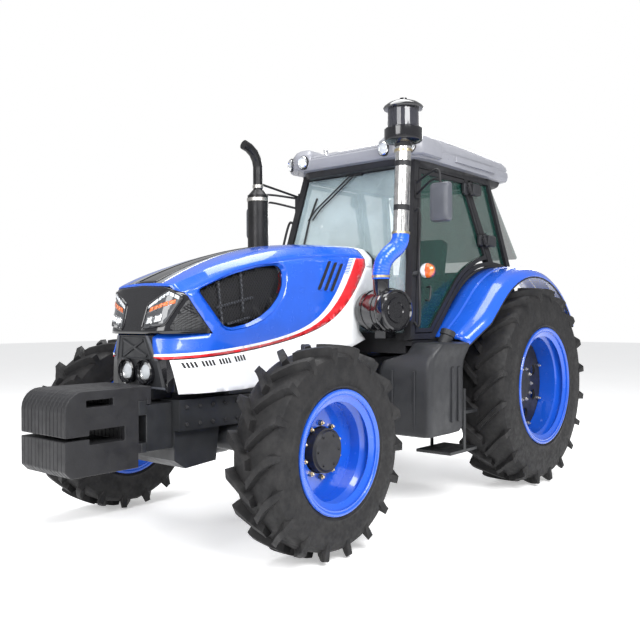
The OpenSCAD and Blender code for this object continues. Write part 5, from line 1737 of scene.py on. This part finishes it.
def cushion(name, low, high, crown, tilt=0.0):
    """Stuffed pad: a rounded closed form, fuller in its middle, turned about Y."""
    shape = Shape().block(low, high)
    mesh = mesh_of(name, shape, ["cloth"])
    work = bmesh.new()
    work.from_mesh(mesh)
    bmesh.ops.subdivide_edges(work, edges=work.edges, cuts=5, use_grid_fill=True)
    middle = (Vector(low) + Vector(high)) / 2 + SHIFT
    half = (Vector(high) - Vector(low)) / 2
    thin = min(range(3), key=lambda k: half[k])
    for v in work.verts:
        far = v.co - middle
        share = [far[k] / half[k] for k in range(3)]
        full = math.prod(1 - abs(share[k]) ** 2.5 for k in range(3) if k != thin)
        far[thin] += crown * full * math.copysign(1, share[thin])
        v.co = middle + Matrix.Rotation(tilt, 3, "Y") @ far
    work.to_mesh(mesh)
    work.free()
    piece = bpy.data.objects.new(name, mesh)
    bpy.context.scene.collection.objects.link(piece)
    soft = piece.modifiers.new("soft", "SUBSURF")
    soft.levels = soft.render_levels = 2
    settle(piece, "chassis")
    return piece


SEAT_TILT = -0.20
# Level sections of the dash, as (height, x from, x to, half width)
DASH_ROWS = ((1.214, 1.12, 1.40, 0.20), (1.50, 1.09, 1.385, 0.19), (1.64, 1.03, 1.355, 0.21),
             (1.72, 1.045, 1.33, 0.23), (1.78, 1.11, 1.30, 0.21), (1.80, 1.14, 1.27, 0.18))
GAUGES = [(-0.14, 1.735), (0.14, 1.735), (0.13, 1.785), (-0.13, 1.785)]


def on_dash(y, z, lift):
    """Place on the sloped face of the dash at (y, z), lifted rearward."""
    return Vector((1.035 + (z - 1.70) - lift, y, z))


class TRACTOR_OT_cabin(bpy.types.Operator):
    """Builds the seat with its cushions, and the dash inside the cab"""

    bl_idname = "tractor.cabin"
    bl_label = "Cabin"

    def execute(self, context):
        base = Shape().block((0.15, -0.17, 1.212), (0.48, 0.17, 1.42))
        for k in range(4):
            base.loft([loop_box(0.15 - g, 0.48 + g, -0.17 - g, 0.17 + g, 0.04, 1.42 + 0.035 * k + h, 3)
                       for h, g in ((0.0, 0.0), (0.017, 0.02), (0.035, 0.0))])
        base.loft([loop_box(0.10, 0.59, -0.25, 0.25, 0.06, z) for z in (1.555, 1.585)])
        base.block((0.045, -0.20, 1.60), (0.085, 0.20, 2.16), turn=Matrix.Rotation(SEAT_TILT, 3, "Y"))
        for side in SIDES:
            arm = span(side, 0.27, 0.33)
            base.loft([loop_box(0.16, 0.46, *arm, 0.025, z) for z in (1.80, 1.815, 1.845, 1.85)])
            base.block((0.14, side * 0.29 - 0.02, 1.60), (0.18, side * 0.29 + 0.02, 1.82))
        make("seat_base", base, ["plastic"], "chassis", bevel=0.006)
        cushion("seat_cushion", (0.12, -0.25, 1.585), (0.60, 0.25, 1.675), 0.022)
        back = cushion("seat_back", (0.045, -0.24, 1.70), (0.135, 0.24, 2.20), 0.022, tilt=SEAT_TILT)
        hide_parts("seat")
        dash = Shape().loft([loop_box(x0, x1, -y, y, 0.05, z) for z, x0, x1, y in DASH_ROWS])
        dash.tube([(1.09, 0, 1.70), (0.945, 0, 1.853)], 0.034, 20)
        dash.plate(rounded(GAUGES, 0.02), on_dash, 0.004, look=1)
        make("dash_moulding", dash, ["plastic", "gloss"], "chassis", ["console"])
        return {"FINISHED"}


EXHAUST_X, EXHAUST_Y = 1.575, -0.75


class TRACTOR_OT_fittings(bpy.types.Operator):
    """Adds the frame bolts and the exhaust clamps"""

    bl_idname = "tractor.fittings"
    bl_label = "Fittings"

    def execute(self, context):
        bolts = [(Vector((x, side * 0.300, z)), LEFT * side, 0.0) for side in SIDES for z in (0.79, 0.90)
                 for x in steps(2.62, 3.28, 6)]
        repeat("frame_bolts", nut(0.014, 0.012), bolts, "iron", "chassis")
        clamps = Shape()
        for z in (1.50, 2.00, 2.50):
            clamps.band(0.092, 0.098, 0.016, 0.002, (EXHAUST_X, EXHAUST_Y, z), UP, 36)
        clamps.band(0.043, 0.048, 0.017, 0.004, (EXHAUST_X, EXHAUST_Y, 2.60), UP, 28, far=0.017)
        make("exhaust_clamps", clamps, ["machined"], "chassis")
        return {"FINISHED"}


class TRACTOR_PT_builder(bpy.types.Panel):
    """Lists the tractor's builders in the sidebar"""

    bl_idname = "TRACTOR_PT_builder"
    bl_label = "Farm tractor"
    bl_space_type = "VIEW_3D"
    bl_region_type = "UI"
    bl_category = "Tractor"

    def draw(self, context):
        for group in (context.scene.tractor_colours, context.scene.tractor_sizes):
            for name in group.__annotations__:
                self.layout.prop(group, name)
        for builder in BUILDERS:
            self.layout.operator(builder.bl_idname)


BUILDERS = (TRACTOR_OT_stage, TRACTOR_OT_castings, TRACTOR_OT_tyres, TRACTOR_OT_wheel_nuts, TRACTOR_OT_hood,
            TRACTOR_OT_nose, TRACTOR_OT_side_panels, TRACTOR_OT_intake, TRACTOR_OT_tanks, TRACTOR_OT_roof,
            TRACTOR_OT_cab_trim, TRACTOR_OT_fenders, TRACTOR_OT_cabin, TRACTOR_OT_fittings)
CLASSES = (TractorColours, TractorSizes, *BUILDERS, TRACTOR_PT_builder)


def register():
    for cls in CLASSES:
        bpy.utils.register_class(cls)
    bpy.types.Scene.tractor_colours = bpy.props.PointerProperty(type=TractorColours)
    bpy.types.Scene.tractor_sizes = bpy.props.PointerProperty(type=TractorSizes)


def unregister():
    del bpy.types.Scene.tractor_sizes
    del bpy.types.Scene.tractor_colours
    for cls in reversed(CLASSES):
        bpy.utils.unregister_class(cls)


def main():
    register()
    for builder in BUILDERS:
        group, name = builder.bl_idname.split(".")
        getattr(getattr(bpy.ops, group), name)()


if __name__ == "__main__":
    main()
